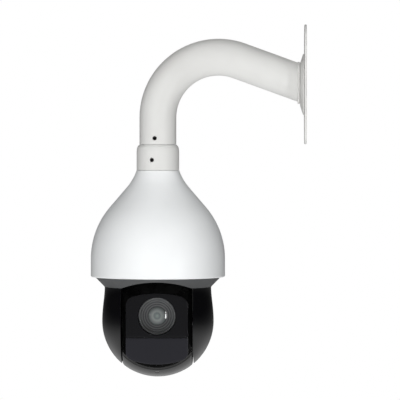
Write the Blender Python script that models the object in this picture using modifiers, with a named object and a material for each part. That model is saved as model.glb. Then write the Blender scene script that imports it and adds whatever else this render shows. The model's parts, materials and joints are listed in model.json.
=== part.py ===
# PTZ dome camera hanging from a goose-neck wall bracket.
# Origin: centre of the wall plate's back face. +X points into the wall, +Z up, the lens looks to -Y.
# Lengths are in metres. Left is -X and right is +X, as seen when facing the lens.
import math

import bpy
import bmesh
from mathutils import Matrix, Vector

GAP = 0.0003              # clearance between pieces that seat on each other
RUN_GAP = 0.0015          # clearance beside pieces that turn past each other
ROUND_STEPS = 32          # sides of the large turned pieces
SMALL_STEPS = 20          # sides of the medium turned pieces
SCREW_STEPS = 12          # sides of the fasteners

# Wall bracket
PLATE_HEIGHT = 0.165
PLATE_WIDTH = 0.120
PLATE_THICKNESS = 0.003
PLATE_CORNER = 0.034
PLATE_HOLE_RADIUS = 0.0045
PLATE_HOLE_INSET = 0.018
FLANGE_BORDER = 0.0165    # flange beyond the tube
FLANGE_THICKNESS = 0.0055
FLANGE_EDGE = 0.0015      # its thickness at the rim
FLANGE_LAND = 0.0035      # flat beside the tube, before the cone
TUBE_RADIUS = 0.0255
TUBE_WALL = 0.003
ARM_REACH = 0.206         # wall face to the pan axis
ARM_RISE = math.radians(20)
BEND_RADIUS = 0.084
BEND_STEPS = 10
TUBE_DROP = 0.037         # straight length below the bend
TUBE_SCREW_HEIGHT = 0.0088
TUBE_SCREW_TURN = math.radians(8.8)
SET_SCREW_RADIUS = 0.00275
SCREW_INSET = 0.0004      # how far a screw's end stays under a surface

# Adapter collar and neck
COLLAR_LENGTH = 0.0354
COLLAR_LIP = 0.0011       # collar beyond the tube at its top
COLLAR_SWELL = 0.0029     # and how much wider it gets below
COLLAR_CURVE = 0.011
COLLAR_SPIGOT = 0.021
COLLAR_SPIGOT_WALL = 0.0042
COLLAR_SKIRT_WALL = 0.0045
COLLAR_SCREW_DROP = 0.0209
COLLAR_SCREW_TURN = math.radians(15.2)
SPIGOT_RISE = 0.0265
SPIGOT_FLANGE_BORDER = 0.0023
SPIGOT_FLANGE = 0.003
GROMMET_BORE = 0.008
GROMMET_HEIGHT = 0.012

# Top housing
HOUSING_RADIUS = 0.0931
HOUSING_HEIGHT = 0.1476
HOUSING_WALL = 0.0025
NECK_BORDER = 0.0005      # housing neck beyond the collar
NECK_LENGTH = 0.0012
NECK_SLOPE = math.radians(20)
SHOULDER_SLOPE = math.radians(40.5)
CONCAVE_RADIUS = 0.070
CONVEX_RADIUS = 0.110
LEDGE_WIDTH = 0.0065
LEDGE_HEIGHT = 0.0033
SKIRT_ROUND = 0.0045      # height of the rounded lower edge
SKIRT_ROUND_DEPTH = 0.0016
RIM_RING_HEIGHT = 0.004
SEAL_HEIGHT = 0.003

# Pan drive
DECK_THICKNESS = 0.003
DECK_RISE = 0.0301        # deck above the housing's lower edge
SHAFT_RADIUS = 0.012
SHAFT_BORE = 0.008
SHAFT_RISE = 0.0106       # shaft above the deck's underside
BEARING_RADIUS = 0.018
BEARING_HEIGHT = 0.0065
BEARING_DROP = 0.0019     # bearing below the deck
NUT_RADIUS = 0.017
NUT_HEIGHT = 0.004
PAN_MODULE = 0.00125
PAN_TEETH = 60
PAN_PINION_TEETH = 12
GEAR_WIDTH = 0.005
PINION_HUB = 0.004
PAN_MOTOR_SIZE = 0.042
PAN_MOTOR_HEIGHT = 0.024
PAN_MOTOR_BEVEL = 0.002
SLIP_RADIUS = 0.011
SLIP_HEIGHT = 0.022
SLIP_RISE = 0.005         # fixed half above the shaft
SLIP_ROTOR_RADIUS = 0.005
SLIP_ROTOR_FLANGE = 0.004
SLIP_ROTOR_DROP = 0.010   # its flange below the shaft's top
SLIP_ROTOR_COVER = 0.004  # fixed half above its tip
BRIDGE_WIDTH = 0.012
BRIDGE_CLEARANCE = 0.001
BRACKET_SHEET = 0.002
BOARD_SIZE = (0.096, 0.076, 0.0016)

# Yoke
YOKE_BASE_RISE = 0.0188   # yoke base above the housing's lower edge
YOKE_BASE_THICKNESS = 0.003
CONE_TOP_RADIUS = 0.0868
CONE_STRAIGHT = 0.0190
CONE_TUCK = 0.0035        # its lower edge inside the ball's radius
CONE_DROP = 0.0132
CONE_WALL = 0.0022
ARCH_RADIUS = 0.130
ARCH_TOP = 0.0093
ARCH_BEHIND = 0.010       # the arch cuts only ahead of this
COVER_WALL = 0.0024
COVER_BULGE = 0.0035      # cover at the tilt axis beyond the cone's lower edge
COVER_EDGE = 0.002        # overlap with the cut that trims a cover
ARM_SHEET = 0.003
ARM_STEM_HALF_WIDTH = 0.040
ARM_CLEARANCE = 0.0011    # arm inside its cover

# Tilting head
BALL_RADIUS = 0.0776
BALL_CLEARANCE = 0.0022   # ball under the yoke base
BALL_HALF_WIDTH = 0.0485
BALL_WALL = 0.0025
BALL_EDGE = 0.002
BALL_CUT = 0.0366         # depth taken off the ball's front
SIDE_GAP = 0.0013         # head beside a cover
SIDE_HOLE_RADIUS = 0.0135
BEZEL_THICKNESS = 0.0036
BEZEL_LIP = 0.0025
WINDOW_HALF_WIDTH = 0.043
WINDOW_THICKNESS = 0.003
WINDOW_TOP = 0.0398
WINDOW_TOP_SAG = 0.0065
WINDOW_MARGIN = 0.0055    # window inside the bezel's lower edge
WINDOW_BOTTOM_SAG = 0.0085
WINDOW_SPLIT = -0.0212
WINDOW_TOP_CORNER = 0.012
WINDOW_BOTTOM_CORNER = 0.009
SPLIT_GAP = 0.0006
CHIN_ANGLE = math.radians(63.8)   # chin screw below straight ahead
CHIN_SCREW_RADIUS = 0.0022
CHIN_SCREW_LENGTH = 0.0055
CHIN_SOCKET = 0.0012

# Camera module
LENS_RISE = 0.0084
BARREL_RADIUS = 0.0256
BARREL_WALL = 0.003
BARREL_SETBACK = 0.005    # barrel behind the front of the ball
BARREL_BACK = -0.020
LENS_RING_DEPTH = 0.0047
RING_SLANT = 0.0016       # width and depth of the ring's inner slant
GLASS_THICKNESS = 0.006
GLASS_BULGE = 0.0035
GROUP_CLEARANCE = 0.0006
GROUP_EDGE = 0.002
ZOOM_THICKNESS = 0.008
ZOOM_FRONT = 0.022
FOCUS_THICKNESS = 0.006
FOCUS_FRONT = -0.006
FRAME_THICKNESS = 0.003
FRAME_HALF_HEIGHT = 0.046
FRAME_CORNER = 0.006
FRAME_SETBACK = 0.0005    # frame behind the barrel's front
CRADLE_SHEET = 0.0027
CRADLE_HALF_HEIGHT = 0.015
BLOCK_SIDE_WALL = 0.0044  # block beside the barrel
BLOCK_TOP_WALL = 0.0034   # and above and below it
BLOCK_LENGTH = 0.040
BLOCK_FRONT = 0.008
POCKET_SIDE_WALL = 0.003
POCKET_TOP_WALL = 0.004
FILTER_SIZE = 0.030
FILTER_THICKNESS = 0.0015
FILTER_OFFSET = 0.002     # filter ahead of the pocket's middle
SENSOR_INSET = 0.001      # board inside the block's sides
SENSOR_TOP_INSET = 0.004
SENSOR_THICKNESS = 0.0016
IR_BOARD_SIZE = (0.060, 0.0016, 0.023)
IR_BOARD_HEIGHT = -0.0405
LED_RADIUS = 0.005
LED_HEIGHT = 0.005
LED_SPACING = 0.028

# Tilt drive
TRUNNION_RADIUS = 0.006
TRUNNION_FLANGE_RADIUS = 0.016
TRUNNION_FLANGE = 0.0033
TRUNNION_OVERHANG = 0.0029   # left trunnion beyond its bearing
TILT_BEARING_RADIUS = 0.0095
TILT_MODULE = 0.001
TILT_TEETH = 30
TILT_PINION_TEETH = 10
TILT_GEAR_WIDTH = 0.004
TILT_MOTOR_RADIUS = 0.012
TILT_MOTOR_LENGTH = 0.010

# Worked out from the values above
BEND_CENTRE_X = BEND_RADIUS - ARM_REACH
TANGENT_X = BEND_CENTRE_X + BEND_RADIUS * math.sin(ARM_RISE)
TANGENT_Z = (-PLATE_THICKNESS - TANGENT_X) * math.tan(ARM_RISE)
BEND_CENTRE_Z = TANGENT_Z - BEND_RADIUS * math.cos(ARM_RISE)
TUBE_END = BEND_CENTRE_Z - TUBE_DROP
TUBE_BORE = TUBE_RADIUS - TUBE_WALL
COLLAR_SPIGOT_RADIUS = TUBE_BORE - GAP
CABLE_HOLE_RADIUS = COLLAR_SPIGOT_RADIUS - COLLAR_SPIGOT_WALL
FLANGE_RADIUS = TUBE_RADIUS + FLANGE_BORDER
COLLAR_TOP_RADIUS = TUBE_RADIUS + COLLAR_LIP
COLLAR_RADIUS = COLLAR_TOP_RADIUS + COLLAR_SWELL
SPIGOT_RADIUS = COLLAR_RADIUS - COLLAR_SKIRT_WALL - GAP
SPIGOT_FLANGE_RADIUS = SPIGOT_RADIUS + SPIGOT_FLANGE_BORDER
NECK_RADIUS = COLLAR_RADIUS + NECK_BORDER
FLANGE_FACE_X = -PLATE_THICKNESS - GAP - FLANGE_THICKNESS
COLLAR_TOP = TUBE_END - GAP
COLLAR_BOTTOM = COLLAR_TOP - COLLAR_LENGTH
HOUSING_TOP = COLLAR_BOTTOM - GAP
HOUSING_BOTTOM = HOUSING_TOP - HOUSING_HEIGHT
HOUSING_BORE = HOUSING_RADIUS - HOUSING_WALL
DECK_BOTTOM = HOUSING_BOTTOM + DECK_RISE
DECK_TOP = DECK_BOTTOM + DECK_THICKNESS
SHAFT_TOP = DECK_BOTTOM + SHAFT_RISE
YOKE_BASE_BOTTOM = HOUSING_BOTTOM + YOKE_BASE_RISE
YOKE_BASE_TOP = YOKE_BASE_BOTTOM + YOKE_BASE_THICKNESS
CONE_TOP = YOKE_BASE_BOTTOM - GAP
CONE_BOTTOM = CONE_TOP - CONE_STRAIGHT - CONE_DROP
CONE_BOTTOM_RADIUS = BALL_RADIUS - CONE_TUCK
TILT_HEIGHT = YOKE_BASE_BOTTOM - BALL_CLEARANCE - BALL_RADIUS
COVER_TOP = CONE_BOTTOM - GAP - TILT_HEIGHT
COVER_RADIUS = CONE_BOTTOM_RADIUS + COVER_BULGE
COVER_INNER_X = BALL_HALF_WIDTH + SIDE_GAP
ARM_OUTER_X = COVER_INNER_X + GAP + ARM_SHEET
ARM_ROUND = math.sqrt((COVER_RADIUS - COVER_WALL) ** 2 - ARM_OUTER_X ** 2) - ARM_CLEARANCE
PAN_GEAR_BOTTOM = YOKE_BASE_TOP + GAP
PAN_PINION_Y = PAN_MODULE * (PAN_TEETH + PAN_PINION_TEETH) / 2
TILT_PINION_Z = TILT_MODULE * (TILT_TEETH + TILT_PINION_TEETH) / 2
TILT_MOTOR_X = ARM_OUTER_X + GAP
TILT_GEAR_X = TILT_MOTOR_X + TILT_MOTOR_LENGTH + 2 * GAP
TRUNNION_RIGHT_END = TILT_GEAR_X + TILT_GEAR_WIDTH + GAP
TRUNNION_LEFT_END = ARM_OUTER_X + TRUNNION_OVERHANG
BALL_FRONT = BALL_RADIUS - BALL_CUT
BEZEL_FRONT = BALL_FRONT + GAP + BEZEL_THICKNESS
BEZEL_RADIUS = math.sqrt(BALL_RADIUS ** 2 - BEZEL_FRONT ** 2)
WINDOW_BACK = BEZEL_FRONT + GAP
WINDOW_BOTTOM = WINDOW_MARGIN - BEZEL_RADIUS
BARREL_FRONT = BALL_FRONT - BARREL_SETBACK
BARREL_BORE = BARREL_RADIUS - BARREL_WALL
FRAME_HALF_WIDTH = BALL_HALF_WIDTH - BALL_WALL - GAP
BLOCK_SIZE = (2 * (BARREL_RADIUS + BLOCK_SIDE_WALL), BLOCK_LENGTH,
              2 * (BARREL_RADIUS + BLOCK_TOP_WALL))
POCKET_SIZE = (BLOCK_SIZE[0] - 2 * POCKET_SIDE_WALL, BLOCK_SIZE[2] - 2 * POCKET_TOP_WALL)
SENSOR_SIZE = (BLOCK_SIZE[0] - 2 * SENSOR_INSET, SENSOR_THICKNESS,
               BLOCK_SIZE[2] - 2 * SENSOR_TOP_INSET)

TO_X = (0.0, math.pi / 2, 0.0)      # turns an object's own Z axis to world +X
TO_LENS = (math.pi / 2, 0.0, 0.0)   # turns an object's own Z axis to world -Y

MATERIALS = {
    "warm_grey_paint": ((0.72, 0.72, 0.69), 0.45, 0.0),
    "white_paint": ((0.86, 0.87, 0.88), 0.35, 0.0),
    "dark_plastic": ((0.06, 0.06, 0.065), 0.50, 0.0),
    "black_gloss": ((0.008, 0.008, 0.010), 0.12, 0.0),
    "window_glass": ((0.012, 0.012, 0.014), 0.05, 0.0),
    "ring_metal": ((0.45, 0.46, 0.47), 0.30, 1.0),
    "lens_coating": ((0.05, 0.09, 0.09), 0.05, 0.0),
    "steel": ((0.55, 0.55, 0.55), 0.35, 1.0),
    "black_steel": ((0.03, 0.03, 0.03), 0.40, 1.0),
    "aluminium": ((0.70, 0.70, 0.71), 0.40, 1.0),
    "rubber": ((0.02, 0.02, 0.02), 0.80, 0.0),
    "brass": ((0.65, 0.50, 0.25), 0.30, 1.0),
    "nylon": ((0.78, 0.77, 0.72), 0.50, 0.0),
    "circuit_board": ((0.02, 0.16, 0.06), 0.50, 0.0),
    "clear_resin": ((0.55, 0.50, 0.58), 0.10, 0.0),
}

partsCollection = None
cuttersCollection = None
axes = {}


# ---- helpers ----

def startScene():
    """Empty the scene and make the two collections and the axis empties."""
    global partsCollection, cuttersCollection
    for obj in list(bpy.data.objects):
        bpy.data.objects.remove(obj, do_unlink=True)
    partsCollection = bpy.data.collections.new("ptz_camera")
    cuttersCollection = bpy.data.collections.new("ptz_camera_cutters")
    for collection in (partsCollection, cuttersCollection):
        bpy.context.scene.collection.children.link(collection)
    addAxis("pan_axis", (-ARM_REACH, 0.0, 0.0), None)
    addAxis("pan_pinion_axis", (0.0, PAN_PINION_Y, 0.0), "pan_axis")
    addAxis("tilt_axis", (0.0, 0.0, TILT_HEIGHT), "pan_axis")
    addAxis("tilt_pinion_axis", (0.0, 0.0, TILT_PINION_Z), "tilt_axis")


def addAxis(name, location, parent):
    empty = bpy.data.objects.new(name, None)
    empty.empty_display_size = 0.02
    empty.location = location
    empty.parent = axes.get(parent)
    partsCollection.objects.link(empty)
    axes[name] = empty


def materialNamed(name):
    material = bpy.data.materials.get(name)
    if material is None:
        colour, roughness, metallic = MATERIALS[name]
        material = bpy.data.materials.new(name)
        material.use_nodes = True
        shader = material.node_tree.nodes["Principled BSDF"]
        shader.inputs["Base Color"].default_value = (*colour, 1.0)
        shader.inputs["Roughness"].default_value = roughness
        shader.inputs["Metallic"].default_value = metallic
    return material


def place(name, data, material, parent, location, rotation=(0.0, 0.0, 0.0)):
    """Link a named piece; a piece without a material is a cutter."""
    obj = bpy.data.objects.new(name, data)
    obj.parent = axes.get(parent)
    obj.location = location
    obj.rotation_euler = rotation
    if material is None:
        obj.hide_render = True
        obj.display_type = 'WIRE'
        cuttersCollection.objects.link(obj)
    else:
        data.materials.append(materialNamed(material))
        partsCollection.objects.link(obj)
    return obj


def smooth(obj, angle=35):
    """Shade a round piece smooth, with its sharp edges kept."""
    for polygon in obj.data.polygons:
        polygon.use_smooth = True
    obj.data.set_sharp_from_angle(angle=math.radians(angle))


def turned(name, profile, material, parent=None, location=(0.0, 0.0, 0.0),
           rotation=(0.0, 0.0, 0.0), steps=SMALL_STEPS):
    """Revolve (radius, height) points, listed down the outer side, about the object's own Z axis.

    A profile that starts and ends on the axis is a solid; any other is closed into a ring."""
    mesh = bpy.data.meshes.new(name)
    last = len(profile) - 1
    edges = [(index, index + 1) for index in range(last)]
    if profile[0][0] > 0.0:
        edges.append((last, 0))
    mesh.from_pydata([(radius, 0.0, height) for radius, height in profile], edges, [])
    obj = place(name, mesh, material, parent, location, rotation)
    screw = obj.modifiers.new("turn", 'SCREW')
    screw.steps = steps
    screw.render_steps = steps
    screw.use_merge_vertices = True
    screw.merge_threshold = 0.00001
    screw.use_smooth_shade = True
    return obj


def disc(name, radius, thickness, material, parent=None, location=(0.0, 0.0, 0.0),
         rotation=(0.0, 0.0, 0.0), bore=0.0, steps=SMALL_STEPS):
    """A flat disc or ring that starts at its location and rises along its own Z axis."""
    profile = [(bore, thickness), (radius, thickness), (radius, 0.0), (bore, 0.0)]
    return turned(name, profile, material, parent, location, rotation, steps)


def block(name, size, material, parent, centre, bevel=0.0):
    """A box with its size in its mesh, and edges rounded by bevel."""
    mesh = bpy.data.meshes.new(name)
    shape = bmesh.new()
    bmesh.ops.create_cube(shape, size=1.0, matrix=Matrix.Diagonal((*size, 1.0)))
    shape.to_mesh(mesh)
    shape.free()
    obj = place(name, mesh, material, parent, centre)
    if bevel > 0.0:
        rounding = obj.modifiers.new("edges", 'BEVEL')
        rounding.width = bevel
        rounding.segments = 1
    return obj


def sheet(name, outlines, thickness, material, parent=None, location=(0.0, 0.0, 0.0),
          rotation=(0.0, 0.0, 0.0)):
    """A flat piece: closed outlines in the object's own XY plane, where inner ones are holes."""
    curve = bpy.data.curves.new(name, 'CURVE')
    curve.dimensions = '2D'
    curve.fill_mode = 'BOTH'
    curve.extrude = thickness / 2
    for outline in outlines:
        spline = curve.splines.new('POLY')
        spline.points.add(len(outline) - 1)
        for point, (x, y) in zip(spline.points, outline):
            point.co = (x, y, 0.0, 1.0)
        spline.use_cyclic_u = True
    return place(name, curve, material, parent, location, rotation)


def meshed(obj):
    """Swap a curve object for the same shape as a mesh, with its caps welded on."""
    bpy.context.view_layer.update()
    graph = bpy.context.evaluated_depsgraph_get()
    mesh = bpy.data.meshes.new_from_object(obj.evaluated_get(graph))
    shape = bmesh.new()
    shape.from_mesh(mesh)
    bmesh.ops.remove_doubles(shape, verts=shape.verts, dist=0.00001)
    shape.to_mesh(mesh)
    shape.free()
    name = obj.name
    world = obj.matrix_world.copy()
    collection = obj.users_collection[0]
    parent = obj.parent
    bpy.data.objects.remove(obj, do_unlink=True)
    result = bpy.data.objects.new(name, mesh)
    result.parent = parent
    collection.objects.link(result)
    bpy.context.view_layer.update()
    result.matrix_world = world
    if collection == cuttersCollection:
        result.hide_render = True
        result.display_type = 'WIRE'
    return result


def cut(obj, cutter, operation='DIFFERENCE'):
    boolean = obj.modifiers.new(cutter.name, 'BOOLEAN')
    boolean.operation = operation
    boolean.object = cutter
    boolean.solver = 'EXACT'


def arc(centre, radius, start, end, steps):
    """Points on a circle from one angle to another, both included, in degrees."""
    points = []
    for index in range(steps + 1):
        angle = math.radians(start + (end - start) * index / steps)
        points.append((centre[0] + radius * math.cos(angle), centre[1] + radius * math.sin(angle)))
    return points


def circle(radius, steps=SMALL_STEPS, centre=(0.0, 0.0)):
    return arc(centre, radius, 0.0, 360.0, steps)[:-1]


def gearOutline(teeth, module, turn):
    """Straight-flanked teeth, thinned for backlash; turn moves the first tooth by a share of a pitch."""
    pitch = math.pi * module
    pitchRadius = teeth * module / 2
    root = (pitchRadius - 1.1 * module, 0.26 * pitch)
    tip = (pitchRadius + 0.8 * module, 0.10 * pitch)
    points = []
    for tooth in range(teeth):
        middle = 2 * math.pi * (tooth + turn) / teeth
        for (radius, halfWidth), side in ((root, -1), (tip, -1), (tip, 1), (root, 1)):
            angle = middle + side * halfWidth / radius
            points.append((radius * math.cos(angle), radius * math.sin(angle)))
    return points


def pinion(name, teeth, module, width, hubRadius, hubLength, parent, location, rotation, turn):
    """A small gear in one solid with its hub, which rises from the gear along its own Z axis."""
    gear = meshed(sheet(name, [gearOutline(teeth, module, turn)], width, "brass",
                        parent, location, rotation))
    hub = disc(name + "_hub", hubRadius, width / 2 + hubLength, None, parent, location, rotation,
               steps=SCREW_STEPS)
    cut(gear, hub, 'UNION')
    return gear


# ---- wall bracket ----

def roundedPlate():
    half = (PLATE_WIDTH / 2, PLATE_HEIGHT / 2)
    corner = (half[0] - PLATE_CORNER, half[1] - PLATE_CORNER)
    outline = []
    for (sideX, sideZ), start in zip(((1, 1), (-1, 1), (-1, -1), (1, -1)), (0, 90, 180, 270)):
        outline += arc((sideX * corner[0], sideZ * corner[1]), PLATE_CORNER, start, start + 90, 6)
    return outline


def buildWallPlate():
    """The plate lies in the YZ plane: its outline's X runs along world Y."""
    outlines = [roundedPlate(), circle(CABLE_HOLE_RADIUS)]
    for sideY in (-1, 1):
        for sideZ in (-1, 1):
            centre = (sideY * (PLATE_WIDTH / 2 - PLATE_HOLE_INSET),
                      sideZ * (PLATE_HEIGHT / 2 - PLATE_HOLE_INSET))
            outlines.append(circle(PLATE_HOLE_RADIUS, SCREW_STEPS, centre))
    sheet("wall_plate", outlines, PLATE_THICKNESS, "warm_grey_paint", None,
          (-PLATE_THICKNESS / 2, 0.0, 0.0), (math.pi / 2, 0.0, math.pi / 2))


def buildArmFlange():
    """A shallow cone between the plate and the tube."""
    profile = [
        (CABLE_HOLE_RADIUS, FLANGE_THICKNESS),
        (FLANGE_RADIUS, FLANGE_THICKNESS),
        (FLANGE_RADIUS, FLANGE_THICKNESS - FLANGE_EDGE),
        (TUBE_RADIUS + FLANGE_LAND, 0.0),
        (CABLE_HOLE_RADIUS, 0.0),
    ]
    turned("arm_flange", profile, "warm_grey_paint", None, (FLANGE_FACE_X, 0.0, 0.0), TO_X,
           ROUND_STEPS)


def armPath():
    """Axis of the tube: up at a slant from the wall, round the bend, and straight down."""
    startX = PLATE_THICKNESS
    points = [(startX, 0.0, (-PLATE_THICKNESS - startX) * math.tan(ARM_RISE))]
    sweep = math.pi / 2 + ARM_RISE
    for index in range(BEND_STEPS + 1):
        angle = math.pi / 2 - ARM_RISE + sweep * index / BEND_STEPS
        points.append((BEND_CENTRE_X + BEND_RADIUS * math.cos(angle), 0.0,
                       BEND_CENTRE_Z + BEND_RADIUS * math.sin(angle)))
    points.append((-ARM_REACH, 0.0, TUBE_END))
    return points


def buildArmTube():
    curve = bpy.data.curves.new("arm_tube", 'CURVE')
    curve.dimensions = '3D'
    curve.bevel_depth = TUBE_RADIUS
    curve.bevel_resolution = ROUND_STEPS // 2 - 2
    curve.use_fill_caps = False
    path = armPath()
    spline = curve.splines.new('POLY')
    spline.points.add(len(path) - 1)
    for point, position in zip(spline.points, path):
        point.co = (*position, 1.0)
    tube = meshed(place("arm_tube", curve, "warm_grey_paint", None, (0.0, 0.0, 0.0)))
    smooth(tube)
    wall = tube.modifiers.new("wall", 'SOLIDIFY')
    wall.thickness = TUBE_WALL
    wall.offset = -1.0
    trimLength = 3 * TUBE_RADIUS
    trimStart = FLANGE_FACE_X - GAP
    trim = block("arm_tube_trim", (trimLength, trimLength, trimLength), None, None,
                 (trimStart + trimLength / 2, 0.0, 0.0))
    cut(tube, trim)
    return tube


def radialDirection(turn, index):
    """Outward direction of one of three screws; the first is turned from -Y towards -X."""
    angle = -math.pi / 2 - turn + index * 2 * math.pi / 3
    return Vector((math.cos(angle), math.sin(angle), 0.0))


def radialCutter(name, turn, index, height, inner, outer):
    """A round cutter along a screw's own line, from one radius to another."""
    direction = radialDirection(turn, index)
    location = direction * inner + Vector((0.0, 0.0, height))
    rotation = direction.to_track_quat('Z', 'Y').to_euler()
    return disc(name, SET_SCREW_RADIUS + GAP, outer - inner, None, "pan_axis", location, rotation,
                steps=SCREW_STEPS)


def setScrew(name, turn, index, height, inner, outer):
    """A socket set screw that ends just under the surface it is driven into."""
    direction = radialDirection(turn, index)
    length = outer - inner
    socket = SET_SCREW_RADIUS / 2
    profile = [
        (0.0, length - 2 * socket),
        (socket, length - 2 * socket),
        (socket, length),
        (SET_SCREW_RADIUS, length),
        (SET_SCREW_RADIUS, 0.0),
        (0.0, 0.0),
    ]
    turned(name, profile, "black_steel", "pan_axis", direction * inner + Vector((0.0, 0.0, height)),
           direction.to_track_quat('Z', 'Y').to_euler(), SCREW_STEPS)


def buildCollar():
    socketTop = COLLAR_BOTTOM + SPIGOT_RISE + GAP
    profile = [
        (CABLE_HOLE_RADIUS, COLLAR_TOP + COLLAR_SPIGOT),
        (COLLAR_SPIGOT_RADIUS, COLLAR_TOP + COLLAR_SPIGOT),
        (COLLAR_SPIGOT_RADIUS, COLLAR_TOP),
        (COLLAR_TOP_RADIUS, COLLAR_TOP),
    ]
    for index in range(1, 5):
        angle = math.pi / 2 * index / 4
        profile.append((COLLAR_TOP_RADIUS + COLLAR_SWELL * math.sin(angle),
                        COLLAR_TOP - COLLAR_CURVE * (1 - math.cos(angle))))
    profile += [
        (COLLAR_RADIUS, COLLAR_BOTTOM),
        (SPIGOT_RADIUS + GAP, COLLAR_BOTTOM),
        (SPIGOT_RADIUS + GAP, socketTop),
        (CABLE_HOLE_RADIUS, socketTop),
    ]
    return turned("adapter_collar", profile, "warm_grey_paint", "pan_axis", steps=ROUND_STEPS)


def buildNeckSpigot():
    top = COLLAR_BOTTOM + SPIGOT_RISE
    flangeTop = HOUSING_TOP - HOUSING_WALL - GAP
    profile = [
        (CABLE_HOLE_RADIUS, top),
        (SPIGOT_RADIUS, top),
        (SPIGOT_RADIUS, flangeTop),
        (SPIGOT_FLANGE_RADIUS, flangeTop),
        (SPIGOT_FLANGE_RADIUS, flangeTop - SPIGOT_FLANGE),
        (CABLE_HOLE_RADIUS, flangeTop - SPIGOT_FLANGE),
    ]
    spigot = turned("neck_spigot", profile, "aluminium", "pan_axis", steps=ROUND_STEPS)
    disc("cable_grommet", CABLE_HOLE_RADIUS - GAP, GROMMET_HEIGHT, "rubber", "pan_axis",
         (0.0, 0.0, flangeTop - SPIGOT_FLANGE + GAP), bore=GROMMET_BORE)
    return spigot


def buildBracket():
    buildWallPlate()
    buildArmFlange()
    tube = buildArmTube()
    collar = buildCollar()
    spigot = buildNeckSpigot()
    tubeScrewZ = TUBE_END + TUBE_SCREW_HEIGHT
    collarScrewZ = COLLAR_TOP - COLLAR_SCREW_DROP
    for index in range(3):
        number = index + 1
        setScrew(f"tube_set_screw_{number}", TUBE_SCREW_TURN, index, tubeScrewZ,
                 CABLE_HOLE_RADIUS + SCREW_INSET, TUBE_RADIUS - SCREW_INSET)
        upper = radialCutter(f"tube_screw_hole_{number}", TUBE_SCREW_TURN, index, tubeScrewZ,
                             CABLE_HOLE_RADIUS / 2, TUBE_RADIUS * 1.5)
        cut(tube, upper)
        cut(collar, upper)
        setScrew(f"collar_set_screw_{number}", COLLAR_SCREW_TURN, index, collarScrewZ,
                 CABLE_HOLE_RADIUS + SCREW_INSET, COLLAR_RADIUS - SCREW_INSET)
        lower = radialCutter(f"collar_screw_hole_{number}", COLLAR_SCREW_TURN, index, collarScrewZ,
                             CABLE_HOLE_RADIUS / 2, COLLAR_RADIUS * 1.5)
        cut(collar, lower)
        cut(spigot, lower)


# ---- top housing and what is fixed in it ----

def shoulderProfile(inset):
    """Outer surface of the housing from its neck to its skirt, moved inwards by inset.

    A concave arc opens from the neck slope to the shoulder slope, a straight cone follows, and a
    convex arc turns it to the upright skirt. Slopes are from the vertical."""
    concaveX = NECK_RADIUS + CONCAVE_RADIUS * math.cos(NECK_SLOPE)
    concaveZ = HOUSING_TOP - NECK_LENGTH + CONCAVE_RADIUS * math.sin(NECK_SLOPE)
    coneTopRadius = concaveX - CONCAVE_RADIUS * math.cos(SHOULDER_SLOPE)
    coneTopZ = concaveZ - CONCAVE_RADIUS * math.sin(SHOULDER_SLOPE)
    convexX = HOUSING_RADIUS - CONVEX_RADIUS
    coneLowRadius = convexX + CONVEX_RADIUS * math.cos(SHOULDER_SLOPE)
    coneLowZ = coneTopZ - (coneLowRadius - coneTopRadius) / math.tan(SHOULDER_SLOPE)
    convexZ = coneLowZ - CONVEX_RADIUS * math.sin(SHOULDER_SLOPE)
    points = []
    for index in range(5):
        slope = NECK_SLOPE + (SHOULDER_SLOPE - NECK_SLOPE) * index / 4
        reach = CONCAVE_RADIUS + inset
        points.append((concaveX - reach * math.cos(slope), concaveZ - reach * math.sin(slope)))
    for index in range(7):
        slope = SHOULDER_SLOPE * (1 - index / 6)
        reach = CONVEX_RADIUS - inset
        points.append((convexX + reach * math.cos(slope), convexZ + reach * math.sin(slope)))
    return points


def buildTopHousing():
    """A shell with a ledge inside, which the chassis deck seats against from below."""
    ledgeBottom = DECK_TOP + GAP
    ledgeTop = ledgeBottom + LEDGE_HEIGHT
    inner = [point for point in shoulderProfile(HOUSING_WALL) if point[1] > ledgeTop + HOUSING_WALL]
    top = [(SPIGOT_RADIUS + GAP, HOUSING_TOP), (NECK_RADIUS, HOUSING_TOP)]
    bottom = [
        (HOUSING_RADIUS, HOUSING_BOTTOM + SKIRT_ROUND),
        (HOUSING_RADIUS - SKIRT_ROUND_DEPTH / 3, HOUSING_BOTTOM + SKIRT_ROUND / 3),
        (HOUSING_RADIUS - SKIRT_ROUND_DEPTH, HOUSING_BOTTOM),
        (HOUSING_BORE, HOUSING_BOTTOM),
        (HOUSING_BORE, ledgeBottom),
        (HOUSING_BORE - LEDGE_WIDTH, ledgeBottom),
        (HOUSING_BORE - LEDGE_WIDTH, ledgeTop),
        (inner[-1][0], ledgeTop),
    ]
    underTop = HOUSING_TOP - HOUSING_WALL
    close = [(inner[0][0], underTop), (SPIGOT_RADIUS + GAP, underTop)]
    profile = top + shoulderProfile(0.0) + bottom + inner[::-1] + close
    turned("top_housing", profile, "white_paint", "pan_axis", steps=ROUND_STEPS)


def buildRim():
    outer = HOUSING_BORE - GAP
    inner = CONE_TOP_RADIUS + RUN_GAP
    bottom = HOUSING_BOTTOM + GAP
    disc("rim_ring", outer, RIM_RING_HEIGHT, "dark_plastic", "pan_axis", (0.0, 0.0, bottom),
         bore=inner, steps=ROUND_STEPS)
    disc("rim_seal", outer, SEAL_HEIGHT, "rubber", "pan_axis",
         (0.0, 0.0, bottom + RIM_RING_HEIGHT + GAP), bore=inner + GAP, steps=ROUND_STEPS)


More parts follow.
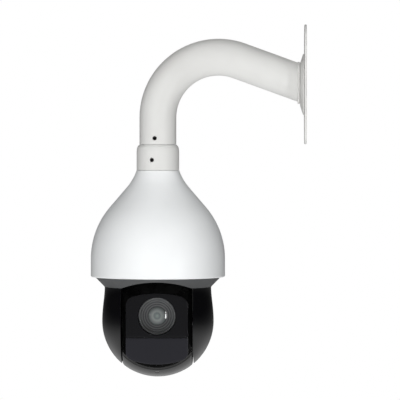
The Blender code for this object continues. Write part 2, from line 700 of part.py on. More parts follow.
def buildChassis():
    deck = disc("chassis_deck", HOUSING_BORE - GAP, DECK_THICKNESS, "aluminium", "pan_axis",
                (0.0, 0.0, DECK_BOTTOM), bore=BEARING_RADIUS + GAP, steps=ROUND_STEPS)
    hubHole = disc("pinion_hub_hole", PINION_HUB + 3 * GAP, 3 * DECK_THICKNESS, None,
                   "pan_pinion_axis", (0.0, 0.0, DECK_BOTTOM - DECK_THICKNESS), steps=SCREW_STEPS)
    cut(deck, hubHole)
    bearingBottom = DECK_BOTTOM - BEARING_DROP
    disc("pan_bearing", BEARING_RADIUS, BEARING_HEIGHT, "steel", "pan_axis",
         (0.0, 0.0, bearingBottom), bore=SHAFT_RADIUS + GAP)
    motorCentre = (0.0, 0.0, DECK_TOP + GAP + PAN_MOTOR_HEIGHT / 2)
    block("pan_motor", (PAN_MOTOR_SIZE, PAN_MOTOR_SIZE, PAN_MOTOR_HEIGHT), "black_steel",
          "pan_pinion_axis", motorCentre, PAN_MOTOR_BEVEL)
    return bearingBottom + BEARING_HEIGHT


def buildSlipRing():
    """The fixed half hangs from a bridge on the deck; its turning half stands in the pan shaft."""
    bottom = SHAFT_TOP + SLIP_RISE
    disc("slip_ring", SLIP_RADIUS, SLIP_HEIGHT, "nylon", "pan_axis", (0.0, 0.0, bottom),
         bore=SLIP_ROTOR_RADIUS + GAP)
    flangeTop = SHAFT_TOP - SLIP_ROTOR_DROP
    rotorTop = bottom + SLIP_HEIGHT - SLIP_ROTOR_COVER
    profile = [
        (0.0, rotorTop),
        (SLIP_ROTOR_RADIUS, rotorTop),
        (SLIP_ROTOR_RADIUS, flangeTop),
        (SHAFT_BORE - GAP, flangeTop),
        (SHAFT_BORE - GAP, flangeTop - SLIP_ROTOR_FLANGE),
        (0.0, flangeTop - SLIP_ROTOR_FLANGE),
    ]
    turned("slip_ring_rotor", profile, "nylon", "pan_axis", steps=16)
    top = bottom + SLIP_HEIGHT + GAP
    legBottom = DECK_TOP + GAP
    inside = NUT_RADIUS + BRIDGE_CLEARANCE
    outside = inside + BRACKET_SHEET
    outline = [
        (-outside, legBottom), (-inside, legBottom), (-inside, top), (inside, top),
        (inside, legBottom), (outside, legBottom), (outside, top + BRACKET_SHEET),
        (-outside, top + BRACKET_SHEET),
    ]
    sheet("slip_ring_bridge", [outline], BRIDGE_WIDTH, "aluminium", "pan_axis", (0.0, 0.0, 0.0),
          (math.pi / 2, 0.0, math.pi / 2))
    boardBottom = top + BRACKET_SHEET + GAP
    block("main_board", BOARD_SIZE, "circuit_board", "pan_axis",
          (0.0, 0.0, boardBottom + BOARD_SIZE[2] / 2))


# ---- pan drive and yoke ----

def buildPanDrive(bearingTop):
    middle = PAN_GEAR_BOTTOM + GEAR_WIDTH / 2
    outlines = [gearOutline(PAN_TEETH, PAN_MODULE, 0.0), circle(SHAFT_RADIUS + GAP)]
    sheet("pan_gear", outlines, GEAR_WIDTH, "nylon", "pan_axis", (0.0, 0.0, middle))
    hubTop = DECK_TOP - GAP
    pinion("pan_pinion", PAN_PINION_TEETH, PAN_MODULE, GEAR_WIDTH - 2 * GAP, PINION_HUB,
           hubTop - middle - GEAR_WIDTH / 2, "pan_pinion_axis", (0.0, 0.0, middle),
           (0.0, 0.0, 0.0), 0.5)
    disc("pan_shaft", SHAFT_RADIUS, SHAFT_TOP - YOKE_BASE_BOTTOM, "steel", "pan_axis",
         (0.0, 0.0, YOKE_BASE_BOTTOM), bore=SHAFT_BORE)
    disc("pan_shaft_nut", NUT_RADIUS, NUT_HEIGHT, "steel", "pan_axis",
         (0.0, 0.0, bearingTop + GAP), bore=SHAFT_RADIUS + GAP)
    disc("yoke_base", CONE_TOP_RADIUS, YOKE_BASE_THICKNESS, "aluminium", "pan_axis",
         (0.0, 0.0, YOKE_BASE_BOTTOM), bore=SHAFT_RADIUS + GAP, steps=ROUND_STEPS)


def buildConeRing():
    """Skirt of the yoke, arched at the front so that the head can swing up."""
    coneTopZ = CONE_TOP - CONE_STRAIGHT
    profile = [
        (CONE_TOP_RADIUS - CONE_WALL, CONE_TOP),
        (CONE_TOP_RADIUS, CONE_TOP),
        (CONE_TOP_RADIUS, coneTopZ),
        (CONE_BOTTOM_RADIUS, CONE_BOTTOM),
        (CONE_BOTTOM_RADIUS - CONE_WALL, CONE_BOTTOM),
        (CONE_TOP_RADIUS - CONE_WALL, coneTopZ + CONE_WALL / 2),
    ]
    ring = turned("cone_ring", profile, "dark_plastic", "pan_axis", steps=ROUND_STEPS)
    archZ = CONE_BOTTOM + ARCH_TOP - ARCH_RADIUS
    arch = disc("front_arch", ARCH_RADIUS, 2 * CONE_TOP_RADIUS, None, "pan_axis",
                (0.0, -ARCH_BEHIND, archZ), TO_LENS, steps=96)
    cut(ring, arch)


def coverProfile(inset):
    """Outer surface of the side covers down to under the head, moved inwards by inset.

    They leave the cone upright, swell to the tilt axis, and follow a ball below it."""
    points = []
    for index in range(6):
        share = 1 - index / 6
        radius = CONE_BOTTOM_RADIUS + COVER_BULGE * (1 - share ** 2) ** 2 - inset
        points.append((radius, TILT_HEIGHT + COVER_TOP * share))
    lowest = math.degrees(math.acos((COVER_INNER_X - COVER_EDGE) / COVER_RADIUS))
    for index in range(9):
        angle = math.radians(-lowest * index / 8)
        points.append(((COVER_RADIUS - inset) * math.cos(angle),
                       TILT_HEIGHT + (COVER_RADIUS - inset) * math.sin(angle)))
    return points


def buildSideCover(side, name):
    profile = coverProfile(0.0) + coverProfile(COVER_WALL)[::-1]
    cover = turned(name, profile, "black_gloss", "pan_axis", steps=ROUND_STEPS)
    length = 2 * COVER_RADIUS
    keep = block(name + "_side", (length, 2 * length, 2 * length), None, "pan_axis",
                 (side * (COVER_INNER_X + length / 2), 0.0, TILT_HEIGHT))
    cut(cover, keep, 'INTERSECT')


def buildYokeArm(side, name):
    """Flat plate from the yoke base down to the tilt bearing, closing the cover's inner side."""
    top = CONE_TOP - TILT_HEIGHT
    stemAngle = math.degrees(math.acos(ARM_STEM_HALF_WIDTH / ARM_ROUND))
    outline = [(ARM_STEM_HALF_WIDTH, top), (-ARM_STEM_HALF_WIDTH, top)]
    outline += arc((0.0, 0.0), ARM_ROUND, 180.0 - stemAngle, 360.0 + stemAngle, 24)
    middle = side * (ARM_OUTER_X - ARM_SHEET / 2)
    sheet(name, [outline, circle(TILT_BEARING_RADIUS + GAP)], ARM_SHEET, "dark_plastic",
          "tilt_axis", (middle, 0.0, 0.0), (math.pi / 2, 0.0, math.pi / 2))


def buildYoke():
    buildConeRing()
    for side, name in ((-1, "left"), (1, "right")):
        buildSideCover(side, "side_cover_" + name)
        buildYokeArm(side, "yoke_arm_" + name)
        middle = side * (ARM_OUTER_X - ARM_SHEET / 2)
        disc("tilt_bearing_" + name, TILT_BEARING_RADIUS, ARM_SHEET, "steel", "tilt_axis",
             (middle - ARM_SHEET / 2, 0.0, 0.0), TO_X, TRUNNION_RADIUS + GAP)


# ---- tilt drive ----

def buildTrunnion(side, name, end):
    """Stub axle with a flange inside the head and a hub in the head's side hole."""
    flangeOuter = BALL_HALF_WIDTH - BALL_WALL - GAP
    profile = [
        (0.0, end),
        (TRUNNION_RADIUS, end),
        (TRUNNION_RADIUS, BALL_HALF_WIDTH),
        (SIDE_HOLE_RADIUS - GAP, BALL_HALF_WIDTH),
        (SIDE_HOLE_RADIUS - GAP, flangeOuter),
        (TRUNNION_FLANGE_RADIUS, flangeOuter),
        (TRUNNION_FLANGE_RADIUS, flangeOuter - TRUNNION_FLANGE),
        (0.0, flangeOuter - TRUNNION_FLANGE),
    ]
    turned(name, profile, "steel", "tilt_axis", rotation=(0.0, side * math.pi / 2, 0.0))
    return flangeOuter - TRUNNION_FLANGE


def buildTiltDrive():
    flangeInner = buildTrunnion(-1, "trunnion_left", TRUNNION_LEFT_END)
    buildTrunnion(1, "trunnion_right", TRUNNION_RIGHT_END)
    middle = TILT_GEAR_X + TILT_GEAR_WIDTH / 2
    outlines = [gearOutline(TILT_TEETH, TILT_MODULE, 0.5), circle(TRUNNION_RADIUS + GAP)]
    sheet("tilt_gear", outlines, TILT_GEAR_WIDTH, "nylon", "tilt_axis", (middle, 0.0, 0.0), TO_X)
    sheet("tilt_pinion", [gearOutline(TILT_PINION_TEETH, TILT_MODULE, 0.0)],
          TILT_GEAR_WIDTH, "brass", "tilt_pinion_axis", (middle, 0.0, 0.0), TO_X)
    disc("tilt_motor", TILT_MOTOR_RADIUS, TILT_MOTOR_LENGTH, "black_steel", "tilt_pinion_axis",
         (TILT_MOTOR_X, 0.0, 0.0), TO_X)
    return flangeInner


# ---- tilting head ----

def ballProfile():
    """Ball with flat sides, its wall, and a round hole in each side."""
    outerEdge = math.degrees(math.asin((BALL_HALF_WIDTH - BALL_EDGE) / BALL_RADIUS))
    flatRadius = BALL_RADIUS * math.cos(math.radians(outerEdge)) - BALL_EDGE
    outside = arc((0.0, 0.0), BALL_RADIUS, outerEdge, -outerEdge, 9)
    innerRadius = BALL_RADIUS - BALL_WALL
    innerWidth = BALL_HALF_WIDTH - BALL_WALL
    innerEdge = math.degrees(math.asin(innerWidth / innerRadius))
    inside = arc((0.0, 0.0), innerRadius, -innerEdge, innerEdge, 9)
    return ([(SIDE_HOLE_RADIUS, BALL_HALF_WIDTH), (flatRadius, BALL_HALF_WIDTH)] + outside
            + [(flatRadius, -BALL_HALF_WIDTH), (SIDE_HOLE_RADIUS, -BALL_HALF_WIDTH),
               (SIDE_HOLE_RADIUS, -innerWidth)] + inside + [(SIDE_HOLE_RADIUS, innerWidth)])


def buildBall():
    """Front and rear shells of the ball, split along the tilt axis."""
    depth = BALL_FRONT - GAP / 2
    wide = 4 * BALL_RADIUS
    spans = {
        "ball_front_shell": (-GAP / 2 - depth / 2, depth),
        "ball_rear_shell": (GAP / 2 + wide / 2, wide),
    }
    for name, (centre, span) in spans.items():
        shell = turned(name, ballProfile(), "black_gloss", "tilt_axis", rotation=TO_X,
                       steps=ROUND_STEPS)
        keep = block(name + "_half", (wide, span, wide), None, "tilt_axis", (0.0, centre, 0.0))
        cut(shell, keep, 'INTERSECT')
        if name == "ball_front_shell":
            frontShell = shell
    buildChinScrew(frontShell)


def buildChinScrew(shell):
    direction = Vector((0.0, -math.cos(CHIN_ANGLE), -math.sin(CHIN_ANGLE)))
    rotation = direction.to_track_quat('Z', 'Y').to_euler()
    start = direction * (BALL_RADIUS - SCREW_INSET - CHIN_SCREW_LENGTH)
    socketBottom = CHIN_SCREW_LENGTH - CHIN_SOCKET
    profile = [
        (0.0, socketBottom),
        (CHIN_SCREW_RADIUS / 2, socketBottom),
        (CHIN_SCREW_RADIUS / 2, CHIN_SCREW_LENGTH),
        (CHIN_SCREW_RADIUS, CHIN_SCREW_LENGTH),
        (CHIN_SCREW_RADIUS, 0.0),
        (0.0, 0.0),
    ]
    turned("chin_screw", profile, "black_steel", "tilt_axis", start, rotation, SCREW_STEPS)
    hole = disc("chin_screw_hole", CHIN_SCREW_RADIUS + GAP, 3 * CHIN_SCREW_LENGTH, None,
                "tilt_axis", direction * (BALL_RADIUS - 2 * CHIN_SCREW_LENGTH), rotation,
                steps=SCREW_STEPS)
    cut(shell, hole)


def windowEdge(height, sag, halfWidth, corner):
    """Upper edge of a window from left to right: a shallow arc that is sag lower at its ends, and
    a rounded corner on each side. A sag of 0 is a straight edge with sharp corners."""
    if sag == 0.0:
        return [(-halfWidth, height), (halfWidth, height)]
    radius = (halfWidth ** 2 + sag ** 2) / (2 * sag)
    arcEnd = halfWidth - corner
    points = []
    for index in range(9):
        x = arcEnd * (2 * index / 8 - 1)
        points.append((x, height - radius + math.sqrt(radius ** 2 - x ** 2)))
    endZ = points[-1][1]
    slope = arcEnd / math.sqrt(radius ** 2 - arcEnd ** 2)
    cornerZ = endZ - slope * corner
    side = []
    for index in range(1, 5):
        share = index / 4
        x = halfWidth - corner * (1 - share) ** 2
        z = endZ * (1 - share) ** 2 + 2 * cornerZ * share * (1 - share)
        side.append((x, z + (cornerZ - corner) * share ** 2))
    return [(-x, z) for x, z in side[::-1]] + points + side


def windowOutline(top, topSag, bottom, bottomSag, inset):
    """Outline of a window part, seen from the front."""
    halfWidth = WINDOW_HALF_WIDTH - inset
    upper = windowEdge(top - inset, topSag, halfWidth, WINDOW_TOP_CORNER - inset)
    lower = windowEdge(-bottom - inset, bottomSag, halfWidth, WINDOW_BOTTOM_CORNER - inset)
    return upper + [(x, -z) for x, z in lower[::-1]]


def lensWindow(inset):
    return windowOutline(WINDOW_TOP, WINDOW_TOP_SAG, WINDOW_SPLIT + SPLIT_GAP / 2, 0.0, inset)


def irWindow(inset):
    return windowOutline(WINDOW_SPLIT - SPLIT_GAP / 2, 0.0, WINDOW_BOTTOM, WINDOW_BOTTOM_SAG, inset)


def buildWindows():
    """A bezel that closes the front of the ball, with two windows seated on its lips."""
    backRadius = math.sqrt(BALL_RADIUS ** 2 - (BALL_FRONT + GAP) ** 2) - GAP
    profile = [(0.0, BEZEL_FRONT), (BEZEL_RADIUS, BEZEL_FRONT), (backRadius, BALL_FRONT + GAP),
               (0.0, BALL_FRONT + GAP)]
    bezel = turned("window_bezel", profile, "black_gloss", "tilt_axis", rotation=TO_LENS,
                   steps=ROUND_STEPS)
    width = 2 * (BALL_HALF_WIDTH - GAP)
    keep = block("bezel_sides", (width, 2 * BALL_RADIUS, 4 * BALL_RADIUS), None, "tilt_axis",
                 (0.0, -BALL_FRONT, 0.0))
    cut(bezel, keep, 'INTERSECT')
    middle = WINDOW_BACK + WINDOW_THICKNESS / 2
    pieces = (("lens_window", lensWindow), ("ir_window", irWindow))
    for name, outline in pieces:
        sheet(name, [outline(0.0)], WINDOW_THICKNESS, "window_glass", "tilt_axis",
              (0.0, -middle, 0.0), TO_LENS)
        hole = meshed(sheet(name + "_opening", [outline(BEZEL_LIP)], 5 * BEZEL_THICKNESS, None,
                            "tilt_axis", (0.0, -BALL_FRONT, 0.0), TO_LENS))
        cut(bezel, hole)


def buildLens():
    """Barrel along the lens axis, with its front ring and glass, and the sliding lens groups."""
    def along(depth):
        return (0.0, -depth, LENS_RISE)

    disc("lens_barrel", BARREL_RADIUS, BARREL_FRONT - BARREL_BACK, "black_steel", "tilt_axis",
         along(BARREL_BACK), TO_LENS, BARREL_BORE, ROUND_STEPS)
    profile = [
        (BARREL_BORE, LENS_RING_DEPTH - RING_SLANT),
        (BARREL_BORE + RING_SLANT, LENS_RING_DEPTH),
        (BARREL_RADIUS, LENS_RING_DEPTH),
        (BARREL_RADIUS, 0.0),
        (BARREL_BORE, 0.0),
    ]
    turned("lens_ring", profile, "ring_metal", "tilt_axis", along(BARREL_FRONT + GAP), TO_LENS,
           ROUND_STEPS)
    glassRadius = BARREL_BORE - GAP
    dome = []
    for index in range(4):
        share = index / 3
        dome.append((glassRadius * share, GLASS_THICKNESS - GLASS_BULGE * share ** 2))
    turned("lens_glass", dome + [(glassRadius, 0.0), (0.0, 0.0)], "lens_coating", "tilt_axis",
           along(BARREL_FRONT - GLASS_THICKNESS), TO_LENS)
    groups = (("zoom_group", ZOOM_FRONT, ZOOM_THICKNESS),
              ("focus_group", FOCUS_FRONT, FOCUS_THICKNESS))
    for name, front, thickness in groups:
        radius = BARREL_BORE - GROUP_CLEARANCE
        outline = [(0.0, thickness), (radius / 2, thickness - GROUP_EDGE / 4),
                   (radius, thickness - GROUP_EDGE), (radius, 0.0), (0.0, 0.0)]
        turned(name, outline, "lens_coating", "tilt_axis", along(front - thickness), TO_LENS)


def buildCameraBlock():
    """Block that carries the barrel and holds the filter carriage and the sensor board."""
    middle = -BLOCK_FRONT + BLOCK_SIZE[1] / 2
    body = block("camera_block", BLOCK_SIZE, "dark_plastic", "tilt_axis",
                 (0.0, middle, LENS_RISE))
    bore = disc("barrel_bore", BARREL_RADIUS + GAP, 2 * BLOCK_SIZE[1], None, "tilt_axis",
                (0.0, BLOCK_SIZE[1], LENS_RISE), TO_LENS, steps=ROUND_STEPS)
    cut(body, bore)
    pocketFront = -BARREL_BACK + GAP
    pocketDepth = 2 * BLOCK_SIZE[1]
    pocket = block("filter_pocket", (POCKET_SIZE[0], pocketDepth, POCKET_SIZE[1]), None,
                   "tilt_axis", (0.0, pocketFront + pocketDepth / 2, LENS_RISE))
    cut(body, pocket)
    blockBack = -BLOCK_FRONT + BLOCK_SIZE[1]
    filterPlace = (pocketFront + blockBack) / 2 - FILTER_OFFSET
    block("ir_cut_filter", (FILTER_SIZE, FILTER_THICKNESS, FILTER_SIZE), "clear_resin",
          "tilt_axis", (0.0, filterPlace, LENS_RISE))
    block("sensor_board", SENSOR_SIZE, "circuit_board", "tilt_axis",
          (0.0, blockBack + GAP + SENSOR_SIZE[1] / 2, LENS_RISE))
    return blockBack + GAP + SENSOR_SIZE[1]


def buildHeadFrame(flangeInner, boardBack):
    """Front plate for the barrel and the infrared board, and the cradle between the trunnions."""
    frameFront = BARREL_FRONT - FRAME_SETBACK
    frameMiddle = frameFront - FRAME_THICKNESS / 2
    plate = [(FRAME_HALF_WIDTH, FRAME_HALF_HEIGHT - FRAME_CORNER),
             (FRAME_HALF_WIDTH - FRAME_CORNER, FRAME_HALF_HEIGHT)]
    outline = plate + [(-x, z) for x, z in plate[::-1]]
    outline += [(-x, -z) for x, z in plate] + [(x, -z) for x, z in plate[::-1]]
    hole = circle(BARREL_RADIUS + GAP, ROUND_STEPS, (0.0, LENS_RISE))
    sheet("front_frame", [outline, hole], FRAME_THICKNESS, "aluminium", "tilt_axis",
          (0.0, -frameMiddle, 0.0), TO_LENS)
    boardMiddle = frameFront + GAP + IR_BOARD_SIZE[1] / 2
    block("ir_board", IR_BOARD_SIZE, "circuit_board", "tilt_axis",
          (0.0, -boardMiddle, IR_BOARD_HEIGHT))
    ledBack = frameFront + 2 * GAP + IR_BOARD_SIZE[1]
    for name, side in (("left", -1), ("right", 1)):
        profile = [(0.0, LED_HEIGHT), (LED_RADIUS / 2, LED_HEIGHT * 0.9),
                   (LED_RADIUS, LED_HEIGHT / 2), (LED_RADIUS, 0.0), (0.0, 0.0)]
        turned("ir_led_" + name, profile, "clear_resin", "tilt_axis",
               (side * LED_SPACING / 2, -ledBack, IR_BOARD_HEIGHT), TO_LENS, 16)
    legOuter = flangeInner - GAP
    legInner = legOuter - CRADLE_SHEET
    legFront = -frameFront + FRAME_THICKNESS + GAP
    webFront = boardBack + GAP
    outline = [
        (-legOuter, legFront), (-legInner, legFront), (-legInner, webFront), (legInner, webFront),
        (legInner, legFront), (legOuter, legFront), (legOuter, webFront + CRADLE_SHEET),
        (-legOuter, webFront + CRADLE_SHEET),
    ]
    sheet("camera_cradle", [outline], 2 * CRADLE_HALF_HEIGHT, "aluminium", "tilt_axis",
          (0.0, 0.0, 0.0))


def main():
    startScene()
    buildBracket()
    buildTopHousing()
    buildRim()
    bearingTop = buildChassis()
    buildSlipRing()
    buildPanDrive(bearingTop)
    buildYoke()
    flangeInner = buildTiltDrive()
    buildBall()
    buildWindows()
    buildLens()
    boardBack = buildCameraBlock()
    buildHeadFrame(flangeInner, boardBack)


main()
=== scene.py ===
import json
import math

import bmesh
import bpy
import numpy as np
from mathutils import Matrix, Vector


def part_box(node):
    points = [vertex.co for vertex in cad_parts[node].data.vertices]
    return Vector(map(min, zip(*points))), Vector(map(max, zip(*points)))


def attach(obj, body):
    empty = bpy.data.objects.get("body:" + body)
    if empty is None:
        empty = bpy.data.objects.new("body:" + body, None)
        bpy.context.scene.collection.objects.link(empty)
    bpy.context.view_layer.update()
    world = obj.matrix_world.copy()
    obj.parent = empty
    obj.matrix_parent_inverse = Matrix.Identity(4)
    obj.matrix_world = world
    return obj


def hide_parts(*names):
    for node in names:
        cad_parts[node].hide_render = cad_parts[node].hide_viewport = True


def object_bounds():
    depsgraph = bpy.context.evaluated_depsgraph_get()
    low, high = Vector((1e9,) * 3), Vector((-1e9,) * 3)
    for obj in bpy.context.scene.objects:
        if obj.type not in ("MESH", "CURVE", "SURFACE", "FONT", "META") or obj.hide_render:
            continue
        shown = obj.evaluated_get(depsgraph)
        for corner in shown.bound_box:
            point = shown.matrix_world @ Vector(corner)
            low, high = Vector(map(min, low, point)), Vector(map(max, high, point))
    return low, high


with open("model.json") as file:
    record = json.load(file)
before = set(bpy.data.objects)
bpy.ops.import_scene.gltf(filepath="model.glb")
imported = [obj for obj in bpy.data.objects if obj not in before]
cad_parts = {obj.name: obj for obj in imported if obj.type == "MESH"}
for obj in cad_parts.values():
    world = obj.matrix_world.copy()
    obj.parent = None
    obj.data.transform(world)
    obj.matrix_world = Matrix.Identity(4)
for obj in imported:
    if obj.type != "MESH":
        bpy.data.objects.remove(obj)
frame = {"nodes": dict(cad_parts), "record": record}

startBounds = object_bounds()
joints = {joint["name"]: joint for joint in frame["record"]["behaviour"]["joints"]}
panX = joints["pan"]["pos_m"][0]
tiltZ = joints["tilt"]["pos_m"][2]
panAxis = np.array([panX, 0.0, 0.0])
tiltPoint = np.array([panX, 0.0, tiltZ])
up, forward, sideways = np.array([0.0, 0.0, 1.0]), np.array([0.0, -1.0, 0.0]), np.array([1.0, 0.0, 0.0])


def gridFaces(rows, columns, wrapRows, wrapColumns, start=0):
    r = np.arange(rows if wrapRows else rows - 1)
    c = np.arange(columns if wrapColumns else columns - 1)
    r, c = np.meshgrid(r, c, indexing="ij")
    nextR, nextC = (r + 1) % rows, (c + 1) % columns
    corners = [r * columns + c, r * columns + nextC, nextR * columns + nextC, nextR * columns + c]
    return np.stack(corners, axis=-1).reshape(-1, 4) + start


def meshObject(name, points, faces, weld=2e-6, sharp=40):
    # points and four-cornered faces go in as whole arrays; poles and seams are then merged
    mesh = bpy.data.meshes.new(name)
    mesh.vertices.add(len(points))
    mesh.vertices.foreach_set("co", np.asarray(points, dtype=np.float32).ravel())
    mesh.loops.add(faces.size)
    mesh.loops.foreach_set("vertex_index", faces.astype(np.int32).ravel())
    mesh.polygons.add(len(faces))
    mesh.polygons.foreach_set("loop_start", np.arange(0, faces.size, 4, dtype=np.int32))
    mesh.update(calc_edges=True)
    mesh.validate()
    shape = bmesh.new()
    shape.from_mesh(mesh)
    bmesh.ops.remove_doubles(shape, verts=shape.verts, dist=weld)
    bmesh.ops.dissolve_degenerate(shape, edges=shape.edges, dist=weld / 4)
    bmesh.ops.recalc_face_normals(shape, faces=shape.faces)
    shape.to_mesh(mesh)
    shape.free()
    obj = bpy.data.objects.new(name, mesh)
    bpy.context.scene.collection.objects.link(obj)
    shade(mesh, sharp)
    return obj


def shade(mesh, sharp=40):
    mesh.polygons.foreach_set("use_smooth", np.ones(len(mesh.polygons), dtype=bool))
    mesh.set_sharp_from_angle(angle=math.radians(sharp))


def gridObject(name, grid, wrapRows=True, wrapColumns=False, sharp=40):
    rows, columns = grid.shape[:2]
    faces = gridFaces(rows, columns, wrapRows, wrapColumns)
    return meshObject(name, grid.reshape(-1, 3), faces, sharp=sharp)


def shellObject(name, outer, inner, sharp=40):
    # two matching open grids, joined all round their borders, make a closed wall
    rows, columns = outer.shape[:2]
    count = rows * columns
    index = np.arange(count).reshape(rows, columns)
    border = np.concatenate([index[0, :-1], index[:-1, -1], index[-1, :0:-1], index[:0:-1, 0]])
    following = np.roll(border, -1)
    strip = np.stack([border, following, following + count, border + count], axis=-1)
    faces = np.concatenate([gridFaces(rows, columns, False, False),
                            gridFaces(rows, columns, False, False, count), strip])
    points = np.concatenate([outer.reshape(-1, 3), inner.reshape(-1, 3)])
    return meshObject(name, points, faces, sharp=sharp)


def softCorners(points, radii, steps=5, closed=True):
    # each corner is swapped for the arc that touches both of its sides; a radius of 0 keeps it
    points = [np.array(point, dtype=float) for point in points]
    line = []
    for index, (corner, radius) in enumerate(zip(points, radii)):
        isEnd = not closed and index in (0, len(points) - 1)
        if radius <= 0.0 or isEnd:
            line.append(corner)
            continue
        before = points[index - 1] - corner
        after = points[(index + 1) % len(points)] - corner
        before, after = before / np.linalg.norm(before), after / np.linalg.norm(after)
        half = math.acos(np.clip(before @ after, -1.0, 1.0)) / 2
        bisector = before + after
        if np.linalg.norm(bisector) < 1e-6:
            line.append(corner)
            continue
        centre = corner + bisector / np.linalg.norm(bisector) * radius / math.sin(half)
        reach = radius / math.tan(half)
        fromCentre = corner + before * reach - centre
        toCentre = corner + after * reach - centre
        turnAngle = math.pi - 2 * half
        share = np.linspace(0.0, 1.0, steps + 1)[:, None]
        arc = (np.sin((1 - share) * turnAngle) * fromCentre + np.sin(share * turnAngle) * toCentre)
        line.extend(centre + arc / math.sin(turnAngle))
    return np.array(line)


def arcPoints(centre, radius, start, end, steps):
    angle = np.radians(np.linspace(start, end, steps + 1))
    return np.stack([centre[0] + radius * np.cos(angle), centre[1] + radius * np.sin(angle)], axis=-1)


def frameOf(direction):
    # two directions at right angles to the given one
    direction = np.asarray(direction, dtype=float)
    direction = direction / np.linalg.norm(direction)
    helper = up if abs(direction[2]) < 0.9 else sideways
    first = np.cross(helper, direction)
    first = first / np.linalg.norm(first)
    return first, np.cross(direction, first), direction


def revolve(profile, origin, direction, steps, radiusOf=None):
    # point = origin + radius (cos a, sin a) across the axis + height along it
    first, second, along = frameOf(direction)
    angle = np.linspace(0.0, 2 * math.pi, steps, endpoint=False)[:, None]
    radius = np.repeat(profile[None, :, 0], steps, axis=0)
    if radiusOf is not None:
        radius = radiusOf(radius, angle)
    across = (np.cos(angle)[..., None] * first + np.sin(angle)[..., None] * second)
    return np.asarray(origin) + radius[..., None] * across + profile[None, :, 1, None] * along


def turned(name, profile, origin=panAxis, direction=up, steps=192, closed=True, sharp=40):
    # closed: the profile is a loop off the axis; open: it starts and ends on the axis
    profile = np.asarray(profile, dtype=float)
    return gridObject(name, revolve(profile, origin, direction, steps), True, closed, sharp)


def applied(obj, sharp=40):
    # the modifiers' result becomes the piece's own mesh
    graph = bpy.context.evaluated_depsgraph_get()
    mesh = bpy.data.meshes.new_from_object(obj.evaluated_get(graph))
    obj.modifiers.clear()
    obj.data = mesh
    shade(mesh, sharp)
    return obj


def drilled(obj, cutters, sharp=40):
    for cutter in cutters:
        boolean = obj.modifiers.new(cutter.name, 'BOOLEAN')
        boolean.object = cutter
        boolean.operation = 'DIFFERENCE'
        boolean.solver = 'EXACT'
    applied(obj, sharp)
    for cutter in cutters:
        bpy.data.objects.remove(cutter, do_unlink=True)
    return obj


def softEdges(obj, width, segments=2, angle=40):
    bevel = obj.modifiers.new("soft edges", 'BEVEL')
    bevel.width = width
    bevel.segments = segments
    bevel.limit_method = 'ANGLE'
    bevel.angle_limit = math.radians(angle)
    return applied(obj)


plasticIor = 1.5


def newMaterial(name, colour, roughness, metallic=0.0, coat=0.0, coatRoughness=0.05):
    material = bpy.data.materials.new(name)
    material.use_nodes = True
    nodes = material.node_tree.nodes
    shader = nodes["Principled BSDF"]
    shader.inputs["Base Color"].default_value = (*colour, 1.0)
    shader.inputs["Roughness"].default_value = roughness
    shader.inputs["Metallic"].default_value = metallic
    shader.inputs["Coat Weight"].default_value = coat
    shader.inputs["Coat Roughness"].default_value = coatRoughness
    shader.inputs["IOR"].default_value = plasticIor
    return material, shader


def noiseNode(material, scale, detail, stretch=(1.0, 1.0, 1.0)):
    nodes, links = material.node_tree.nodes, material.node_tree.links
    coordinates = nodes.new("ShaderNodeTexCoord")
    mapping = nodes.new("ShaderNodeMapping")
    mapping.inputs["Scale"].default_value = stretch
    noise = nodes.new("ShaderNodeTexNoise")
    noise.inputs["Scale"].default_value = scale
    noise.inputs["Detail"].default_value = detail
    links.new(coordinates.outputs["Object"], mapping.inputs["Vector"])
    links.new(mapping.outputs["Vector"], noise.inputs["Vector"])
    return noise


def ranged(material, source, low, high, fromLow=0.3, fromHigh=0.7):
    node = material.node_tree.nodes.new("ShaderNodeMapRange")
    node.inputs["From Min"].default_value = fromLow
    node.inputs["From Max"].default_value = fromHigh
    node.inputs["To Min"].default_value = low
    node.inputs["To Max"].default_value = high
    material.node_tree.links.new(source, node.inputs["Value"])
    return node.outputs["Result"]


def varyRoughness(material, shader, spread, scale, detail=3.0, stretch=(1.0, 1.0, 1.0)):
    middle = shader.inputs["Roughness"].default_value
    noise = noiseNode(material, scale, detail, stretch)
    low, high = max(0.02, middle - spread / 2), min(1.0, middle + spread)
    result = ranged(material, noise.outputs["Fac"], low, high)
    material.node_tree.links.new(result, shader.inputs["Roughness"])


def twoTone(material, shader, share, first, second):
    # the base colour runs from the first to the second as share goes from 0 to 1
    nodes, links = material.node_tree.nodes, material.node_tree.links
    mix = nodes.new("ShaderNodeMix")
    mix.data_type = 'RGBA'
    mix.inputs["A"].default_value = (*first, 1.0)
    mix.inputs["B"].default_value = (*second, 1.0)
    links.new(share, mix.inputs["Factor"])
    links.new(mix.outputs["Result"], shader.inputs["Base Color"])


def varyColour(material, shader, other, scale, detail=4.0, fromLow=0.35, fromHigh=0.75):
    colour = tuple(shader.inputs["Base Color"].default_value)[:3]
    noise = noiseNode(material, scale, detail)
    share = ranged(material, noise.outputs["Fac"], 0.0, 1.0, fromLow, fromHigh)
    twoTone(material, shader, share, colour, other)


def grain(material, shader, scale, depth, detail=2.0, stretch=(1.0, 1.0, 1.0)):
    nodes, links = material.node_tree.nodes, material.node_tree.links
    noise = noiseNode(material, scale, detail, stretch)
    bump = nodes.new("ShaderNodeBump")
    bump.inputs["Strength"].default_value = 1.0
    bump.inputs["Distance"].default_value = depth
    links.new(noise.outputs["Fac"], bump.inputs["Height"])
    earlier = shader.inputs["Normal"].links
    if earlier:
        links.new(earlier[0].from_socket, bump.inputs["Normal"])
    links.new(bump.outputs["Normal"], shader.inputs["Normal"])


